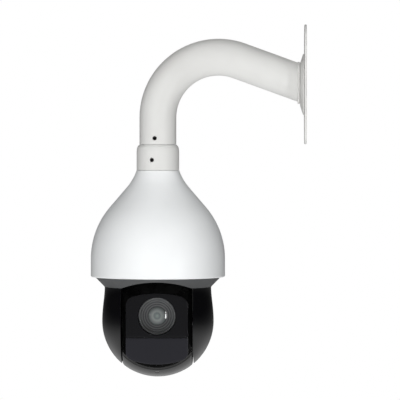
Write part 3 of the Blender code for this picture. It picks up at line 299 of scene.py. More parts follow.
def powderCoat(name, colour, dusty, roughness=0.42, peel=0.00006):
    # orange peel over finer grit, a slightly uneven gloss and a faint dusty tone
    material, shader = newMaterial(name, colour, roughness)
    varyColour(material, shader, dusty, 14.0)
    varyRoughness(material, shader, 0.10, 35.0)
    grain(material, shader, 620.0, peel)
    grain(material, shader, 2600.0, peel / 5)
    return material


def glossPlastic(name, colour, worn, roughness=0.06):
    # deep gloss with long soft waviness, hazy smudges and a trace of dust
    material, shader = newMaterial(name, colour, roughness, coat=0.3, coatRoughness=0.04)
    varyColour(material, shader, worn, 22.0, 5.0, 0.45, 0.85)
    varyRoughness(material, shader, 0.10, 18.0, 5.0)
    grain(material, shader, 45.0, 0.00006, 1.0)
    return material


def matteMoulding(name, colour, rubbed, roughness=0.6, pit=0.00005):
    # fine spark-eroded mould grain
    material, shader = newMaterial(name, colour, roughness)
    varyColour(material, shader, rubbed, 30.0)
    varyRoughness(material, shader, 0.15, 60.0)
    grain(material, shader, 1900.0, pit, 3.0)
    return material


def plainMetal(name, colour, tarnish, roughness=0.35, stretch=(1.0, 1.0, 1.0), depth=0.00001):
    material, shader = newMaterial(name, colour, roughness, metallic=1.0)
    varyColour(material, shader, tarnish, 40.0)
    varyRoughness(material, shader, 0.15, 120.0, 4.0, stretch)
    grain(material, shader, 900.0, depth, 4.0, stretch)
    return material


def circuitBoard(name):
    # green lacquer with darker tracks in a fine blocky pattern
    material, shader = newMaterial(name, (0.02, 0.13, 0.05), 0.35)
    nodes, links = material.node_tree.nodes, material.node_tree.links
    coordinates = nodes.new("ShaderNodeTexCoord")
    tracks = nodes.new("ShaderNodeTexVoronoi")
    tracks.distance = 'CHEBYCHEV'
    tracks.inputs["Scale"].default_value = 260.0
    links.new(coordinates.outputs["Object"], tracks.inputs["Vector"])
    share = ranged(material, tracks.outputs["Distance"], 0.0, 1.0, 0.2, 0.4)
    twoTone(material, shader, share, (0.010, 0.075, 0.028), (0.030, 0.170, 0.065))
    varyRoughness(material, shader, 0.2, 90.0)
    grain(material, shader, 500.0, 0.00004)
    return material


def clearResin(name, colour, roughness=0.08):
    material, shader = newMaterial(name, colour, roughness, coat=0.5)
    varyColour(material, shader, tuple(value * 0.8 for value in colour), 150.0)
    varyRoughness(material, shader, 0.08, 80.0)
    grain(material, shader, 300.0, 0.00001)
    return material


print("finishes")
finishes = {
    "bracketPaint": powderCoat("bracketPaint", (0.665, 0.665, 0.65), (0.615, 0.612, 0.597)),
    "housingPaint": powderCoat("housingPaint", (0.80, 0.815, 0.82), (0.76, 0.775, 0.78), 0.36, 0.00004),
    "coverGloss": glossPlastic("coverGloss", (0.0022, 0.0022, 0.0028), (0.0035, 0.0035, 0.0042)),
    "headGloss": glossPlastic("headGloss", (0.003, 0.003, 0.0034), (0.005, 0.005, 0.0055), 0.10),
    # near-zero black, darker than the other black plastics: the bezel's own black with painted shade of the
    # recess around the windows
    "bezelBlackWithShade": matteMoulding("bezelBlackWithShade", (0.0006, 0.0006, 0.0006), (0.001, 0.001, 0.001), 0.25, 0.00002),
    "skirtPlastic": matteMoulding("skirtPlastic", (0.062, 0.064, 0.066), (0.080, 0.082, 0.084)),
    "yokePlastic": matteMoulding("yokePlastic", (0.02, 0.02, 0.021), (0.03, 0.03, 0.031)),
    "blackSteel": plainMetal("blackSteel", (0.20, 0.20, 0.205), (0.13, 0.125, 0.12), 0.42),
    "groundSteel": plainMetal("groundSteel", (0.56, 0.56, 0.57), (0.44, 0.43, 0.42), 0.30,
                              (1.0, 1.0, 6.0)),
    "aluminium": plainMetal("aluminium", (0.72, 0.72, 0.73), (0.62, 0.62, 0.63), 0.38),
    "brass": plainMetal("brass", (0.66, 0.50, 0.24), (0.48, 0.36, 0.18), 0.30),
    "rubber": matteMoulding("rubber", (0.018, 0.018, 0.018), (0.03, 0.03, 0.03), 0.78),
    "nylon": matteMoulding("nylon", (0.74, 0.73, 0.67), (0.66, 0.65, 0.58), 0.48, 0.00003),
    "circuitBoard": circuitBoard("circuitBoard"),
    "clearResin": clearResin("clearResin", (0.34, 0.30, 0.38)),
}


def finish(obj, material, body, nodes):
    obj.data.materials.clear()
    obj.data.materials.append(finishes[material] if isinstance(material, str) else material)
    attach(obj, body)
    if nodes:
        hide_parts(*nodes)
    return obj


print("camera and studio")
camera = bpy.data.objects.new("camera", bpy.data.cameras.new("camera"))
bpy.context.scene.collection.objects.link(camera)
bpy.context.scene.camera = camera
viewpoint = {"eye": (-0.045, -5.13, -0.044), "aim": (-0.1476, 0.0, -0.1601), "lens": 333.0,
             "sensor": 36.0, "reach": 50.0}
camera.data.lens = viewpoint["lens"]
camera.data.sensor_width = viewpoint["sensor"]
camera.data.clip_end = viewpoint["reach"]
camera.location = viewpoint["eye"]
sight = Vector(viewpoint["aim"]) - Vector(viewpoint["eye"])
camera.rotation_euler = sight.to_track_quat('-Z', 'Y').to_euler()

bpy.context.scene.view_settings.view_transform = 'Standard'

studio = {
    "floorDrop": 0.75, "floorPale": 0.93,
    "shineLow": 0.62, "shineHigh": 0.015, "shineFrom": -0.50, "shineTo": 0.06, "shineFront": 0.15,
    "ambientLow": 0.58, "ambientHigh": 0.02,
}
# only the glints show in reflections
lamps = {
    "keyLeft": {"place": (-1.9, -3.0, -0.1), "power": 27.0, "size": (1.6, 1.6)},
    "keyLow": {"place": (-0.25, -2.0, -1.1), "power": 27.0, "size": (0.9, 0.9)},
    "overhead": {"place": (-0.15, -0.8, 2.2), "power": 30.0, "size": (1.6, 1.6)},
    "fillBack": {"place": (-0.6, 3.2, 0.3), "power": 22.0, "size": (2.0, 2.0)},
    "glintRight": {"place": (1.50, -2.35, -0.32), "power": 12.0, "size": (0.22, 1.6)},
    "glintLeft": {"place": (-1.80, -2.40, -0.25), "power": 0.6, "size": (0.2, 0.2)},
}
lampTarget = Vector((panX, 0.0, -0.16))


def rangeNode(nodes, low, high, toLow, toHigh):
    node = nodes.new("ShaderNodeMapRange")
    node.interpolation_type = 'SMOOTHSTEP'
    node.inputs["From Min"].default_value = low
    node.inputs["From Max"].default_value = high
    node.inputs["To Min"].default_value = toLow
    node.inputs["To Max"].default_value = toHigh
    return node


def studioFloor():
    # pale paper that only the camera sees; the world lights the object from below
    z = startBounds[0][2] - studio["floorDrop"]
    radius = np.array([0.0, 2.0, 4.0, 6.0])
    angle = np.linspace(0.0, 2 * math.pi, 64, endpoint=False)[:, None]
    grid = np.stack([panX + radius * np.cos(angle), radius * np.sin(angle), z + 0 * radius * angle],
                    axis=-1)
    floor = gridObject("floor", grid)
    material = bpy.data.materials.new("floorPaper")
    material.use_nodes = True
    nodes, links = material.node_tree.nodes, material.node_tree.links
    nodes.clear()
    paper = nodes.new("ShaderNodeEmission")
    paper.inputs["Strength"].default_value = studio["floorPale"]
    output = nodes.new("ShaderNodeOutputMaterial")
    links.new(paper.outputs["Emission"], output.inputs["Surface"])
    floor.data.materials.append(material)
    floor.visible_glossy = False
    floor.visible_diffuse = False
    floor.visible_shadow = False


def studioWorld():
    # white to the camera; reflections see it bright below and dark above and in front
    world = bpy.data.worlds.new("studio")
    bpy.context.scene.world = world
    world.use_nodes = True
    nodes, links = world.node_tree.nodes, world.node_tree.links
    background = nodes["Background"]
    coordinates = nodes.new("ShaderNodeTexCoord")
    split = nodes.new("ShaderNodeSeparateXYZ")
    links.new(coordinates.outputs["Generated"], split.inputs["Vector"])
    height = rangeNode(nodes, studio["shineFrom"], studio["shineTo"],
                       studio["shineLow"], studio["shineHigh"])
    front = rangeNode(nodes, -1.0, -0.2, studio["shineFront"], 1.0)
    shine = nodes.new("ShaderNodeMath")
    shine.operation = 'MULTIPLY'
    ambient = rangeNode(nodes, -0.7, 0.7, studio["ambientLow"], studio["ambientHigh"])
    links.new(split.outputs["Z"], height.inputs["Value"])
    links.new(split.outputs["Y"], front.inputs["Value"])
    links.new(split.outputs["Z"], ambient.inputs["Value"])
    links.new(height.outputs["Result"], shine.inputs[0])
    links.new(front.outputs["Result"], shine.inputs[1])
    path = nodes.new("ShaderNodeLightPath")
    matt = nodes.new("ShaderNodeMix")
    seen = nodes.new("ShaderNodeMix")
    links.new(path.outputs["Is Diffuse Ray"], matt.inputs["Factor"])
    links.new(shine.outputs["Value"], matt.inputs["A"])
    links.new(ambient.outputs["Result"], matt.inputs["B"])
    links.new(path.outputs["Is Camera Ray"], seen.inputs["Factor"])
    links.new(matt.outputs["Result"], seen.inputs["A"])
    seen.inputs["B"].default_value = 1.0
    links.new(seen.outputs["Result"], background.inputs["Strength"])
    background.inputs["Color"].default_value = (1.0, 1.0, 1.0, 1.0)


def softLight(name, lamp):
    light = bpy.data.lights.new(name, 'AREA')
    light.shape = 'ELLIPSE'
    light.size, light.size_y = lamp["size"]
    light.energy = lamp["power"]
    obj = bpy.data.objects.new(name, light)
    bpy.context.scene.collection.objects.link(obj)
    obj.location = lamp["place"]
    direction = lampTarget - Vector(lamp["place"])
    obj.rotation_euler = direction.to_track_quat('-Z', 'Y').to_euler()
    obj.visible_glossy = name.startswith("glint")
    obj.visible_camera = False


studioFloor()
studioWorld()
for name, lamp in lamps.items():
    softLight(name, lamp)


gap = 0.0003      # clearance between pieces that seat on each other
plate = {"corner": 0.034, "edge": 0.0008, "boltRadius": 0.0045, "boltInset": 0.018,
         "boltEdge": 0.0005}
tube = {"wall": 0.003, "rise": math.radians(20), "bend": 0.084, "sides": 160, "endEdge": 0.0006}
setScrewSettings = {"radius": 0.00275, "socket": 0.00155, "socketDepth": 0.0028,
                    "edge": 0.00035, "holeEdge": 0.0006, "inset": 0.0004}

plateLow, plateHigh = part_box("wall_plate")
flangeLow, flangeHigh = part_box("arm_flange")
tubeLow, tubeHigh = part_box("arm_tube")
collarLow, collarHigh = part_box("adapter_collar")
spigotLow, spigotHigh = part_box("neck_spigot")
housingLow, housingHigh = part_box("top_housing")
plateThickness = plateHigh[0] - plateLow[0]
tubeRadius = (tubeHigh[1] - tubeLow[1]) / 2
cableRadius = (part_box("cable_grommet")[1][1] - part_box("cable_grommet")[0][1]) / 2 + gap


def holeCutter(name, origin, direction, radius, start, end, edge):
    # a drill with a widening mouth at its outer end
    far = end + 0.01
    profile = [(0.0, start), (radius, start), (radius, end - edge), (radius + edge, end),
               (radius + edge + 0.01, far), (0.0, far)]
    return turned(name, np.array(profile), origin, direction, 48, False)


def roundedOutline(angle, halfWidth, halfHeight, corner):
    # distance from the middle to a round-cornered rectangle: a straight side or a corner's circle
    c, s = np.abs(np.cos(angle)), np.abs(np.sin(angle))
    straight = np.minimum(halfWidth / np.maximum(c, 1e-9), halfHeight / np.maximum(s, 1e-9))
    innerX, innerY = halfWidth - corner, halfHeight - corner
    along = innerX * c + innerY * s
    root = np.sqrt(np.maximum(along ** 2 - innerX ** 2 - innerY ** 2 + corner ** 2, 0.0))
    inCorner = (straight * c > innerX) & (straight * s > innerY)
    return np.where(inCorner, along + root, straight)


def plateRings(outline, hole, edge, thick, roundSteps, crossings):
    # rings over the rounded outer edge, across the front to the hole, down it, and back behind
    quarter = np.radians(np.linspace(0, 90, roundSteps))
    inset = np.concatenate([edge - edge * np.sin(quarter), edge - edge * np.cos(quarter)])
    depth = np.concatenate([edge - edge * np.cos(quarter), thick - edge + edge * np.sin(quarter)])
    share = np.linspace(0.0, 1.0, crossings + 2)[1:-1]
    across = (outline[:, None] - edge) * (1 - share) + (hole + edge) * share
    inHole = np.repeat(hole + inset[None, ::-1], len(outline), axis=0)
    radii = np.concatenate([outline[:, None] - inset, across, inHole, across[:, ::-1]], axis=1)
    depths = np.concatenate([depth, np.full(crossings, thick), depth[::-1], np.zeros(crossings)])
    return radii, depths[None, :] + 0 * radii


def buildWallPlate():
    halfY, halfZ = (plateHigh[1] - plateLow[1]) / 2, (plateHigh[2] - plateLow[2]) / 2
    angle = np.linspace(0.0, 2 * math.pi, 360, endpoint=False)
    outer = roundedOutline(angle, halfY, halfZ, plate["corner"])
    thick = plateThickness
    radii, depths = plateRings(outer, cableRadius, plate["edge"], thick, 5, 8)
    grid = np.stack([plateHigh[0] - depths, radii * np.cos(angle)[:, None],
                     radii * np.sin(angle)[:, None]], axis=-1)
    obj = gridObject("bracket_wall_plate", grid, True, True)
    cutters = []
    r, e = plate["boltRadius"], plate["boltEdge"]
    profile = np.array([(0.0, -0.004), (r + e + 0.004, -0.004), (r + e, 0.0), (r, e), (r, thick - e),
                        (r + e, thick), (r + e + 0.004, thick + 0.004), (0.0, thick + 0.004)])
    for signY in (-1, 1):
        for signZ in (-1, 1):
            place = (0.0, signY * (halfY - plate["boltInset"]), signZ * (halfZ - plate["boltInset"]))
            cutters.append(turned("bolt_drill", profile, place, (-1, 0, 0), 48, False))
    drilled(obj, cutters)
    finish(obj, "bracketPaint", "bracket", ["wall_plate"])


def buildFlange():
    # shallow cone between the plate and the tube, its rim slightly rounded
    thick = flangeHigh[0] - flangeLow[0]
    radius = (flangeHigh[1] - flangeLow[1]) / 2
    profile = softCorners([(cableRadius, 0.0), (radius, 0.0), (radius, 0.0016),
                           (tubeRadius + 0.0042, thick), (cableRadius, thick)],
                          [0.0005, 0.0004, 0.0007, 0.002, 0.0005])
    obj = turned("bracket_flange", profile, (flangeHigh[0], 0.0, 0.0), (-1, 0, 0), 256)
    finish(obj, "bracketPaint", "bracket", ["arm_flange"])


def armCentreline(cutX):
    # straight slant from the wall, a round bend, then straight down: points and directions
    bendX, bendZ = panX + tube["bend"], tubeHigh[2] - tube["bend"] - tubeRadius
    rise = tube["rise"]
    sweep = np.linspace(math.pi / 2 - rise, math.pi, 73)
    bend = np.stack([bendX + tube["bend"] * np.cos(sweep), 0 * sweep,
                     bendZ + tube["bend"] * np.sin(sweep)], axis=-1)
    bendTangent = np.stack([-np.sin(sweep), 0 * sweep, np.cos(sweep)], axis=-1)
    start = np.array([cutX, 0.0, bend[0, 2] - (cutX - bend[0, 0]) * math.tan(rise)])
    share = np.linspace(0.0, 1.0, 24, endpoint=False)[:, None]
    slant = start * (1 - share) + bend[0] * share
    lowest = np.array([panX, 0.0, tubeLow[2]])
    drop = bend[-1] * (1 - share[1:]) + lowest * share[1:]
    points = np.concatenate([slant, bend, drop, [lowest]])
    tangents = np.concatenate([np.repeat(bendTangent[:1], 24, 0), bendTangent,
                               np.repeat([[0.0, 0.0, -1.0]], 24, 0)])
    return points, tangents


def tubeSurface(radius, points, tangents, cutX, endInset=0.0):
    # circle round each point of the centreline; the first ring slides along the tube to the wall cut
    angle = np.linspace(0.0, 2 * math.pi, tube["sides"], endpoint=False)[:, None, None]
    side = np.array([0.0, 1.0, 0.0])
    normal = np.cross(tangents, side)
    rings = points + radius * (np.cos(angle) * side + np.sin(angle) * normal)
    slide = (cutX - rings[:, 0, 0]) / tangents[0, 0]
    fade = np.linspace(1.0, 0.0, 24)
    rings[:, :24] += (slide[:, None] * fade)[..., None] * tangents[0]
    rings[:, -1, 2] += endInset
    return rings


def buildArmTube():
    cutX = tubeHigh[0]
    points, tangents = armCentreline(cutX)
    edge = tube["endEdge"]
    outer = tubeSurface(tubeRadius, points, tangents, cutX, edge)
    lip = tubeSurface(tubeRadius - edge, points, tangents, cutX)[:, -1:]
    mid = tubeSurface(tubeRadius - edge * 0.3, points, tangents, cutX, edge * 0.3)[:, -1:]
    inner = tubeSurface(tubeRadius - tube["wall"], points, tangents, cutX)[:, ::-1]
    grid = np.concatenate([outer, mid, lip, inner], axis=1)
    obj = gridObject("bracket_arm_tube", grid, True, True)
    drilled(obj, screwHoles("tube_set_screw_", tubeRadius, 0.5))
    finish(obj, "bracketPaint", "bracket", ["arm_tube"])
    buildWeld(points[0], tangents[0], cutX)


def buildWeld(start, tangent, cutX):
    # a low bead round the tube where it meets the flange, its height rippling as it was laid
    count = 480
    angle = np.linspace(0.0, 2 * math.pi, count, endpoint=False)
    side, normal = np.array([0.0, 1.0, 0.0]), np.cross(tangent, [0.0, 1.0, 0.0])
    ring = start + tubeRadius * (np.cos(angle)[:, None] * side + np.sin(angle)[:, None] * normal)
    ring = ring + ((cutX - ring[:, :1]) / tangent[0]) * tangent
    outward = ring - np.array([cutX, 0.0, start[2]])
    outward = outward / np.linalg.norm(outward, axis=1)[:, None]
    ripple = 1.0 + 0.10 * np.sin(angle * 62) + 0.06 * np.sin(angle * 23 + 1.0)
    turn = np.linspace(0.0, 2 * math.pi, 14, endpoint=False)
    size = 0.0017 * ripple[:, None]
    grid = (ring[:, None, :] + (size * (0.15 + np.cos(turn)))[..., None] * outward[:, None, :]
            + (size * (np.sin(turn) - 0.9))[..., None] * np.array([1.0, 0.0, 0.0]))
    obj = gridObject("bracket_weld_bead", grid, True, True)
    finish(obj, "bracketPaint", "bracket", [])


def screwFrame(node):
    # a set screw points straight away from the pan axis: its direction and its middle
    low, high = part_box(node)
    centre = np.array([(low[axis] + high[axis]) / 2 for axis in range(3)])
    direction = (centre - np.array([panX, 0.0, centre[2]]))
    direction = direction / np.linalg.norm(direction)
    return direction, centre


def screwHoles(prefix, surfaceRadius, startShare):
    cutters = []
    for number in (1, 2, 3):
        direction, centre = screwFrame(f"{prefix}{number}")
        origin = np.array([panX, 0.0, centre[2]])
        cutters.append(holeCutter("screw_drill", origin, direction,
                                  setScrewSettings["radius"] + 0.0002, surfaceRadius * startShare,
                                  surfaceRadius - 0.0001, setScrewSettings["holeEdge"]))
    return cutters


def hexRadius(apothem):
    # distance to a hexagon's side at each angle
    def radiusOf(radius, angle):
        folded = np.mod(angle + math.pi / 6, math.pi / 3) - math.pi / 6
        hexagon = apothem / np.cos(folded)
        return np.where(radius < 0, hexagon * -radius, radius)
    return radiusOf


def socketScrew(name, origin, direction, radius, length, socket, depth, edge):
    # a negative radius in the profile is a share of the hexagon, for the socket's walls
    profile = np.array([
        (0.0, 0.0), (radius - edge, 0.0), (radius, edge), (radius, length - edge),
        (radius - edge * 0.3, length - edge * 0.3), (radius - edge, length),
        (-1.15, length), (-1.0, length - edge * 0.6), (-1.0, length - depth),
        (-0.5, length - depth - edge), (0.0, length - depth - edge)])
    grid = revolve(profile, origin, direction, 72, hexRadius(socket))
    return gridObject(name, grid, True, False, 30)


def buildSetScrews():
    for prefix, surface in (("tube_set_screw_", tubeRadius), ("collar_set_screw_", collarRadius)):
        for number in (1, 2, 3):
            node = f"{prefix}{number}"
            direction, centre = screwFrame(node)
            inset = setScrewSettings["inset"]
            start, end = cableRadius + inset, surface - inset
            origin = np.array([panX, 0.0, centre[2]]) + direction * start
            obj = socketScrew("visual_" + node, origin, direction, setScrewSettings["radius"],
                              end - start, setScrewSettings["socket"],
                              setScrewSettings["socketDepth"], setScrewSettings["edge"])
            finish(obj, "blackSteel", "bracket", [node])


collarRadius = (collarHigh[1] - collarLow[1]) / 2
collar = {"topRadius": tubeRadius + 0.0011, "curve": 0.011, "spigotRise": 0.021,
          "spigotRadius": tubeRadius - 0.0033, "socketRadius": collarRadius - 0.0045,
          "topEdge": 0.0012}


def buildCollar():
    # a quarter ellipse swells from the top edge to the full width
    top = collarHigh[2] - collar["spigotRise"]
    bottom, spigotTop = collarLow[2], collarHigh[2]
    socketTop = spigotHigh[2] + gap
    swell = collarRadius - collar["topRadius"]
    lip = arcPoints((collar["topRadius"] - collar["topEdge"], top - collar["topEdge"]),
                    collar["topEdge"], 90, 10, 6)
    sweep = np.linspace(0.25, math.pi / 2, 24)
    curve = np.stack([collar["topRadius"] + swell * np.sin(sweep),
                      top - collar["topEdge"] - (collar["curve"] - collar["topEdge"])
                      * (1 - np.cos(sweep))], axis=-1)
    lower = softCorners([(collarRadius, top - 0.02), (collarRadius, bottom),
                         (collar["socketRadius"], bottom), (collar["socketRadius"], socketTop),
                         (cableRadius, socketTop), (cableRadius, spigotTop),
                         (collar["spigotRadius"], spigotTop), (collar["spigotRadius"], top)],
                        [0.0, 0.0009, 0.0005, 0.0006, 0.0005, 0.001, 0.001, 0.0])
    obj = turned("bracket_collar", np.concatenate([lip, curve, lower]), steps=256)
    drilled(obj, screwHoles("collar_set_screw_", collarRadius, 0.5)
            + screwHoles("tube_set_screw_", tubeRadius, 0.5))
    finish(obj, "bracketPaint", "bracket", ["adapter_collar"])


def buildSpigot():
    flangeRadius = (spigotHigh[1] - spigotLow[1]) / 2
    outer = collar["socketRadius"] - gap
    flangeTop = spigotLow[2] + 0.003
    profile = softCorners([(cableRadius, spigotHigh[2]), (outer, spigotHigh[2]), (outer, flangeTop),
                           (flangeRadius, flangeTop), (flangeRadius, spigotLow[2]),
                           (cableRadius, spigotLow[2])], [0.0008, 0.0012, 0.0, 0.0006, 0.0006, 0.0008])
    obj = turned("neck_spigot_turned", profile, steps=160)
    drilled(obj, screwHoles("collar_set_screw_", collarRadius, 0.5))
    finish(obj, "aluminium", "bracket", ["neck_spigot"])
    low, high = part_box("cable_grommet")
    radius, height = (high[1] - low[1]) / 2, high[2] - low[2]
    groove = softCorners([(0.008, 0.0), (radius, 0.0), (radius, height * 0.3),
                          (radius - 0.0015, height * 0.36), (radius - 0.0015, height * 0.64),
                          (radius, height * 0.7), (radius, height), (0.008, height)],
                         [0.0015, 0.001, 0.0008, 0.0006, 0.0006, 0.0008, 0.001, 0.0015])
    obj = turned("cable_grommet_moulded", groove, (panX, 0.0, low[2]), steps=128)
    finish(obj, "rubber", "bracket", ["cable_grommet"])


print("wall bracket")
buildWallPlate()
buildFlange()
buildArmTube()
buildCollar()
buildSetScrews()
buildSpigot()


housing = {"wall": 0.0025, "neckRadius": collarRadius + 0.0005, "neckLength": 0.0012,
           "neckSlope": 20.0, "shoulderSlope": 40.5, "hollow": 0.070, "shoulder": 0.110,
           "skirtRound": 0.0045, "ledgeWidth": 0.0065, "ledgeHeight": 0.0033}
housingRadius = (housingHigh[1] - housingLow[1]) / 2


def shoulderLine(inset):
    # hollow arc from the neck, straight cone, then a full arc to the upright skirt
    neck, top = housing["neckRadius"], housingHigh[2] - housing["neckLength"]
    slopeA, slopeB = math.radians(housing["neckSlope"]), math.radians(housing["shoulderSlope"])
    hollow, full = housing["hollow"], housing["shoulder"]
    hollowX, hollowZ = neck + hollow * math.cos(slopeA), top + hollow * math.sin(slopeA)
    coneTop = (hollowX - hollow * math.cos(slopeB), hollowZ - hollow * math.sin(slopeB))
    fullX = housingRadius - full
    coneLowRadius = fullX + full * math.cos(slopeB)
    coneLowZ = coneTop[1] - (coneLowRadius - coneTop[0]) / math.tan(slopeB)
    fullZ = coneLowZ - full * math.sin(slopeB)
    slope = np.linspace(slopeA, slopeB, 24)
    first = np.stack([hollowX - (hollow + inset) * np.cos(slope),
                      hollowZ - (hollow + inset) * np.sin(slope)], axis=-1)
    slope = np.linspace(slopeB, 0.0, 48)
    second = np.stack([fullX + (full - inset) * np.cos(slope),
                       fullZ + (full - inset) * np.sin(slope)], axis=-1)
    share = np.linspace(0.0, 1.0, 12)[1:-1, None]
    return np.concatenate([first, first[-1] * (1 - share) + second[0] * share, second])


def buildHousing():
    top, bottom = housingHigh[2], housingLow[2]
    wall, bore = housing["wall"], housingRadius - housing["wall"]
    spigotBore = collar["socketRadius"]
    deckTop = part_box("chassis_deck")[1][2]
    ledgeBottom, ledgeTop = deckTop + gap, deckTop + gap + housing["ledgeHeight"]
    neck = softCorners([(spigotBore, top - wall), (spigotBore, top), (housing["neckRadius"], top),
                        (housing["neckRadius"], top - housing["neckLength"])],
                       [0.0, 0.0004, 0.0005, 0.0], closed=False)
    outside = shoulderLine(0.0)
    ledgeRadius = bore - housing["ledgeWidth"]
    inside = shoulderLine(wall)
    inside = inside[inside[:, 1] > ledgeTop + 0.003][::-1]
    lower = softCorners([(housingRadius, bottom + 0.012), (housingRadius, bottom), (bore, bottom),
                         (bore, ledgeBottom), (ledgeRadius, ledgeBottom), (ledgeRadius, ledgeTop),
                         (inside[0, 0], ledgeTop), tuple(inside[0])],
                        [0.0, 0.0021, 0.0004, 0.0003, 0.0004, 0.0004, 0.001, 0.0], 8, False)
    closing = np.array([(inside[-1, 0], top - wall)])
    profile = np.concatenate([neck, outside[1:], lower, inside[1:], closing])
    obj = turned("housing_shell", profile, steps=360, sharp=32)
    finish(obj, "housingPaint", "bracket", ["top_housing"])


def ringPiece(node, name, material, bore, edge):
    # a plain ring of the node's own size, with rounded edges
    low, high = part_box(node)
    outer = (high[1] - low[1]) / 2
    profile = softCorners([(bore, low[2]), (outer, low[2]), (outer, high[2]), (bore, high[2])],
                          [edge] * 4)
    obj = turned(name, profile, steps=256)
    finish(obj, material, "bracket", [node])


print("top housing")
buildHousing()
coneRadius = (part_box("cone_ring")[1][1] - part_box("cone_ring")[0][1]) / 2
ringPiece("rim_ring", "housing_rim_ring", "skirtPlastic", coneRadius + 0.0015,
          0.0006)
ringPiece("rim_seal", "housing_rim_seal", "rubber", coneRadius + 0.0018, 0.0010)


cone = {"wall": 0.0022, "straight": 0.0190, "archRadius": 0.130, "archRise": 0.0093,
        "archBehind": 0.010, "lowerEdge": 0.0009, "kink": 0.0016, "tuck": 0.0035}
cover = {"wall": 0.0024, "bulge": 0.0035, "edge": 0.0008}
yokeArm = {"stemHalfWidth": 0.040, "edge": 0.0005}
coneLow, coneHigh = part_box("cone_ring")
ballLow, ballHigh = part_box("ball_rear_shell")
ballRadius = ballHigh[1] - 0.00003      # a hair inside the faceted ball
coneLowerRadius = ballRadius - cone["tuck"]
coverWidest = coneLowerRadius + cover["bulge"]
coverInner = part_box("side_cover_right")[0][0] - panX
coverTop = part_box("side_cover_right")[1][2]


def buildConeRing():
    # turned skirt whose lower edge follows a round arch at the front
    top, bottom, wall, edge = coneHigh[2], coneLow[2], cone["wall"], cone["lowerEdge"]
    kinkZ = top - cone["straight"]
    slope = (coneRadius - coneLowerRadius) / (kinkZ - bottom)
    angle = np.linspace(0.0, 2 * math.pi, 720, endpoint=False)
    radiusAt = lambda z: np.where(z > kinkZ, coneRadius, coneRadius - (kinkZ - z) * slope)
    lowest = np.full_like(angle, bottom)
    archZ = bottom + cone["archRise"] - cone["archRadius"]
    for _ in range(6):
        x = radiusAt(lowest) * np.cos(angle)
        arch = archZ + np.sqrt(np.maximum(cone["archRadius"] ** 2 - x ** 2, 0.0))
        inFront = radiusAt(lowest) * np.sin(angle) < -cone["archBehind"]
        lowest = np.where(inFront, np.maximum(arch, bottom), bottom)
    topCorner = softCorners([(coneRadius - wall, top), (coneRadius, top), (coneRadius, kinkZ),
                             (coneRadius - 0.008 * slope, kinkZ - 0.008)],
                            [0.0004, 0.0006, cone["kink"] * 4, 0.0], 6, False)[:-1]
    outerRadius = np.repeat(topCorner[None, :, 0], len(angle), 0)
    outerZ = np.repeat(topCorner[None, :, 1], len(angle), 0)
    share = np.linspace(0.0, 1.0, 10)[None, 1:]
    start = topCorner[-1, 1]
    fallZ = start * (1 - share) + (lowest[:, None] + edge) * share
    fallRadius = coneRadius - (kinkZ - fallZ) * slope
    turnAngle = np.linspace(0.0, math.pi, 8)[None, 1:]
    middleRadius = fallRadius[:, -1:] - wall / 2
    edgeRadius = middleRadius + wall / 2 * np.cos(turnAngle)
    edgeZ = lowest[:, None] + edge - edge * np.sin(turnAngle)
    riseZ = fallZ[:, ::-1][:, 1:]
    riseRadius = fallRadius[:, ::-1][:, 1:] - wall
    radius = np.concatenate([outerRadius, fallRadius, edgeRadius, riseRadius], axis=1)
    z = np.concatenate([outerZ, fallZ, edgeZ, riseZ], axis=1)
    lastZ = np.full((len(angle), 1), kinkZ)
    radius = np.concatenate([radius, np.full((len(angle), 1), coneRadius - wall)], axis=1)
    z = np.concatenate([z, lastZ], axis=1)
    grid = np.stack([panX + radius * np.cos(angle)[:, None], radius * np.sin(angle)[:, None], z],
                    axis=-1)
    obj = gridObject("yoke_skirt", grid, True, True, 35)
    finish(obj, "skirtPlastic", "yoke", ["cone_ring"])


def coverRadiusAt(z, inset):
    # upright under the cone, swelling to the tilt axis, and a ball below it:
    # radius = lower edge of the cone + bulge * (1 - (height / full height) ** 2) ** 2
    height = z - tiltZ
    share = np.clip(height / (coverTop - tiltZ), 0.0, 1.0)
    above = coneLowerRadius + cover["bulge"] * (1 - share ** 2) ** 2 - inset
    below = np.sqrt(np.maximum((coverWidest - inset) ** 2 - height ** 2, 0.0))
    return np.where(height > 0, above, below)


def coverGrid(side, inset, rows=90, columns=72):
    # at each height the arc runs between the two edges of the flat inner plane
    widest = coverWidest - inset
    lowest = tiltZ - math.sqrt(widest ** 2 - coverInner ** 2) + 1e-6
    share = np.linspace(0.0, 1.0, rows)
    z = lowest + (coverTop - lowest) * np.cos(share * math.pi / 2)
    radius = coverRadiusAt(z, inset)
    widestAngle = np.arccos(np.clip(coverInner / radius, -1.0, 1.0))
    angle = widestAngle[:, None] * np.linspace(-1.0, 1.0, columns)[None, :]
    x = panX + side * radius[:, None] * np.cos(angle)
    return np.stack([x, radius[:, None] * np.sin(angle), z[:, None] + 0 * angle], axis=-1)


def buildSideCover(side, name):
    obj = shellObject("visual_side_cover_" + name, coverGrid(side, 0.0), coverGrid(side, cover["wall"]))
    softEdges(obj, cover["edge"], 3, 30)
    finish(obj, "coverGloss", "yoke", ["side_cover_" + name])


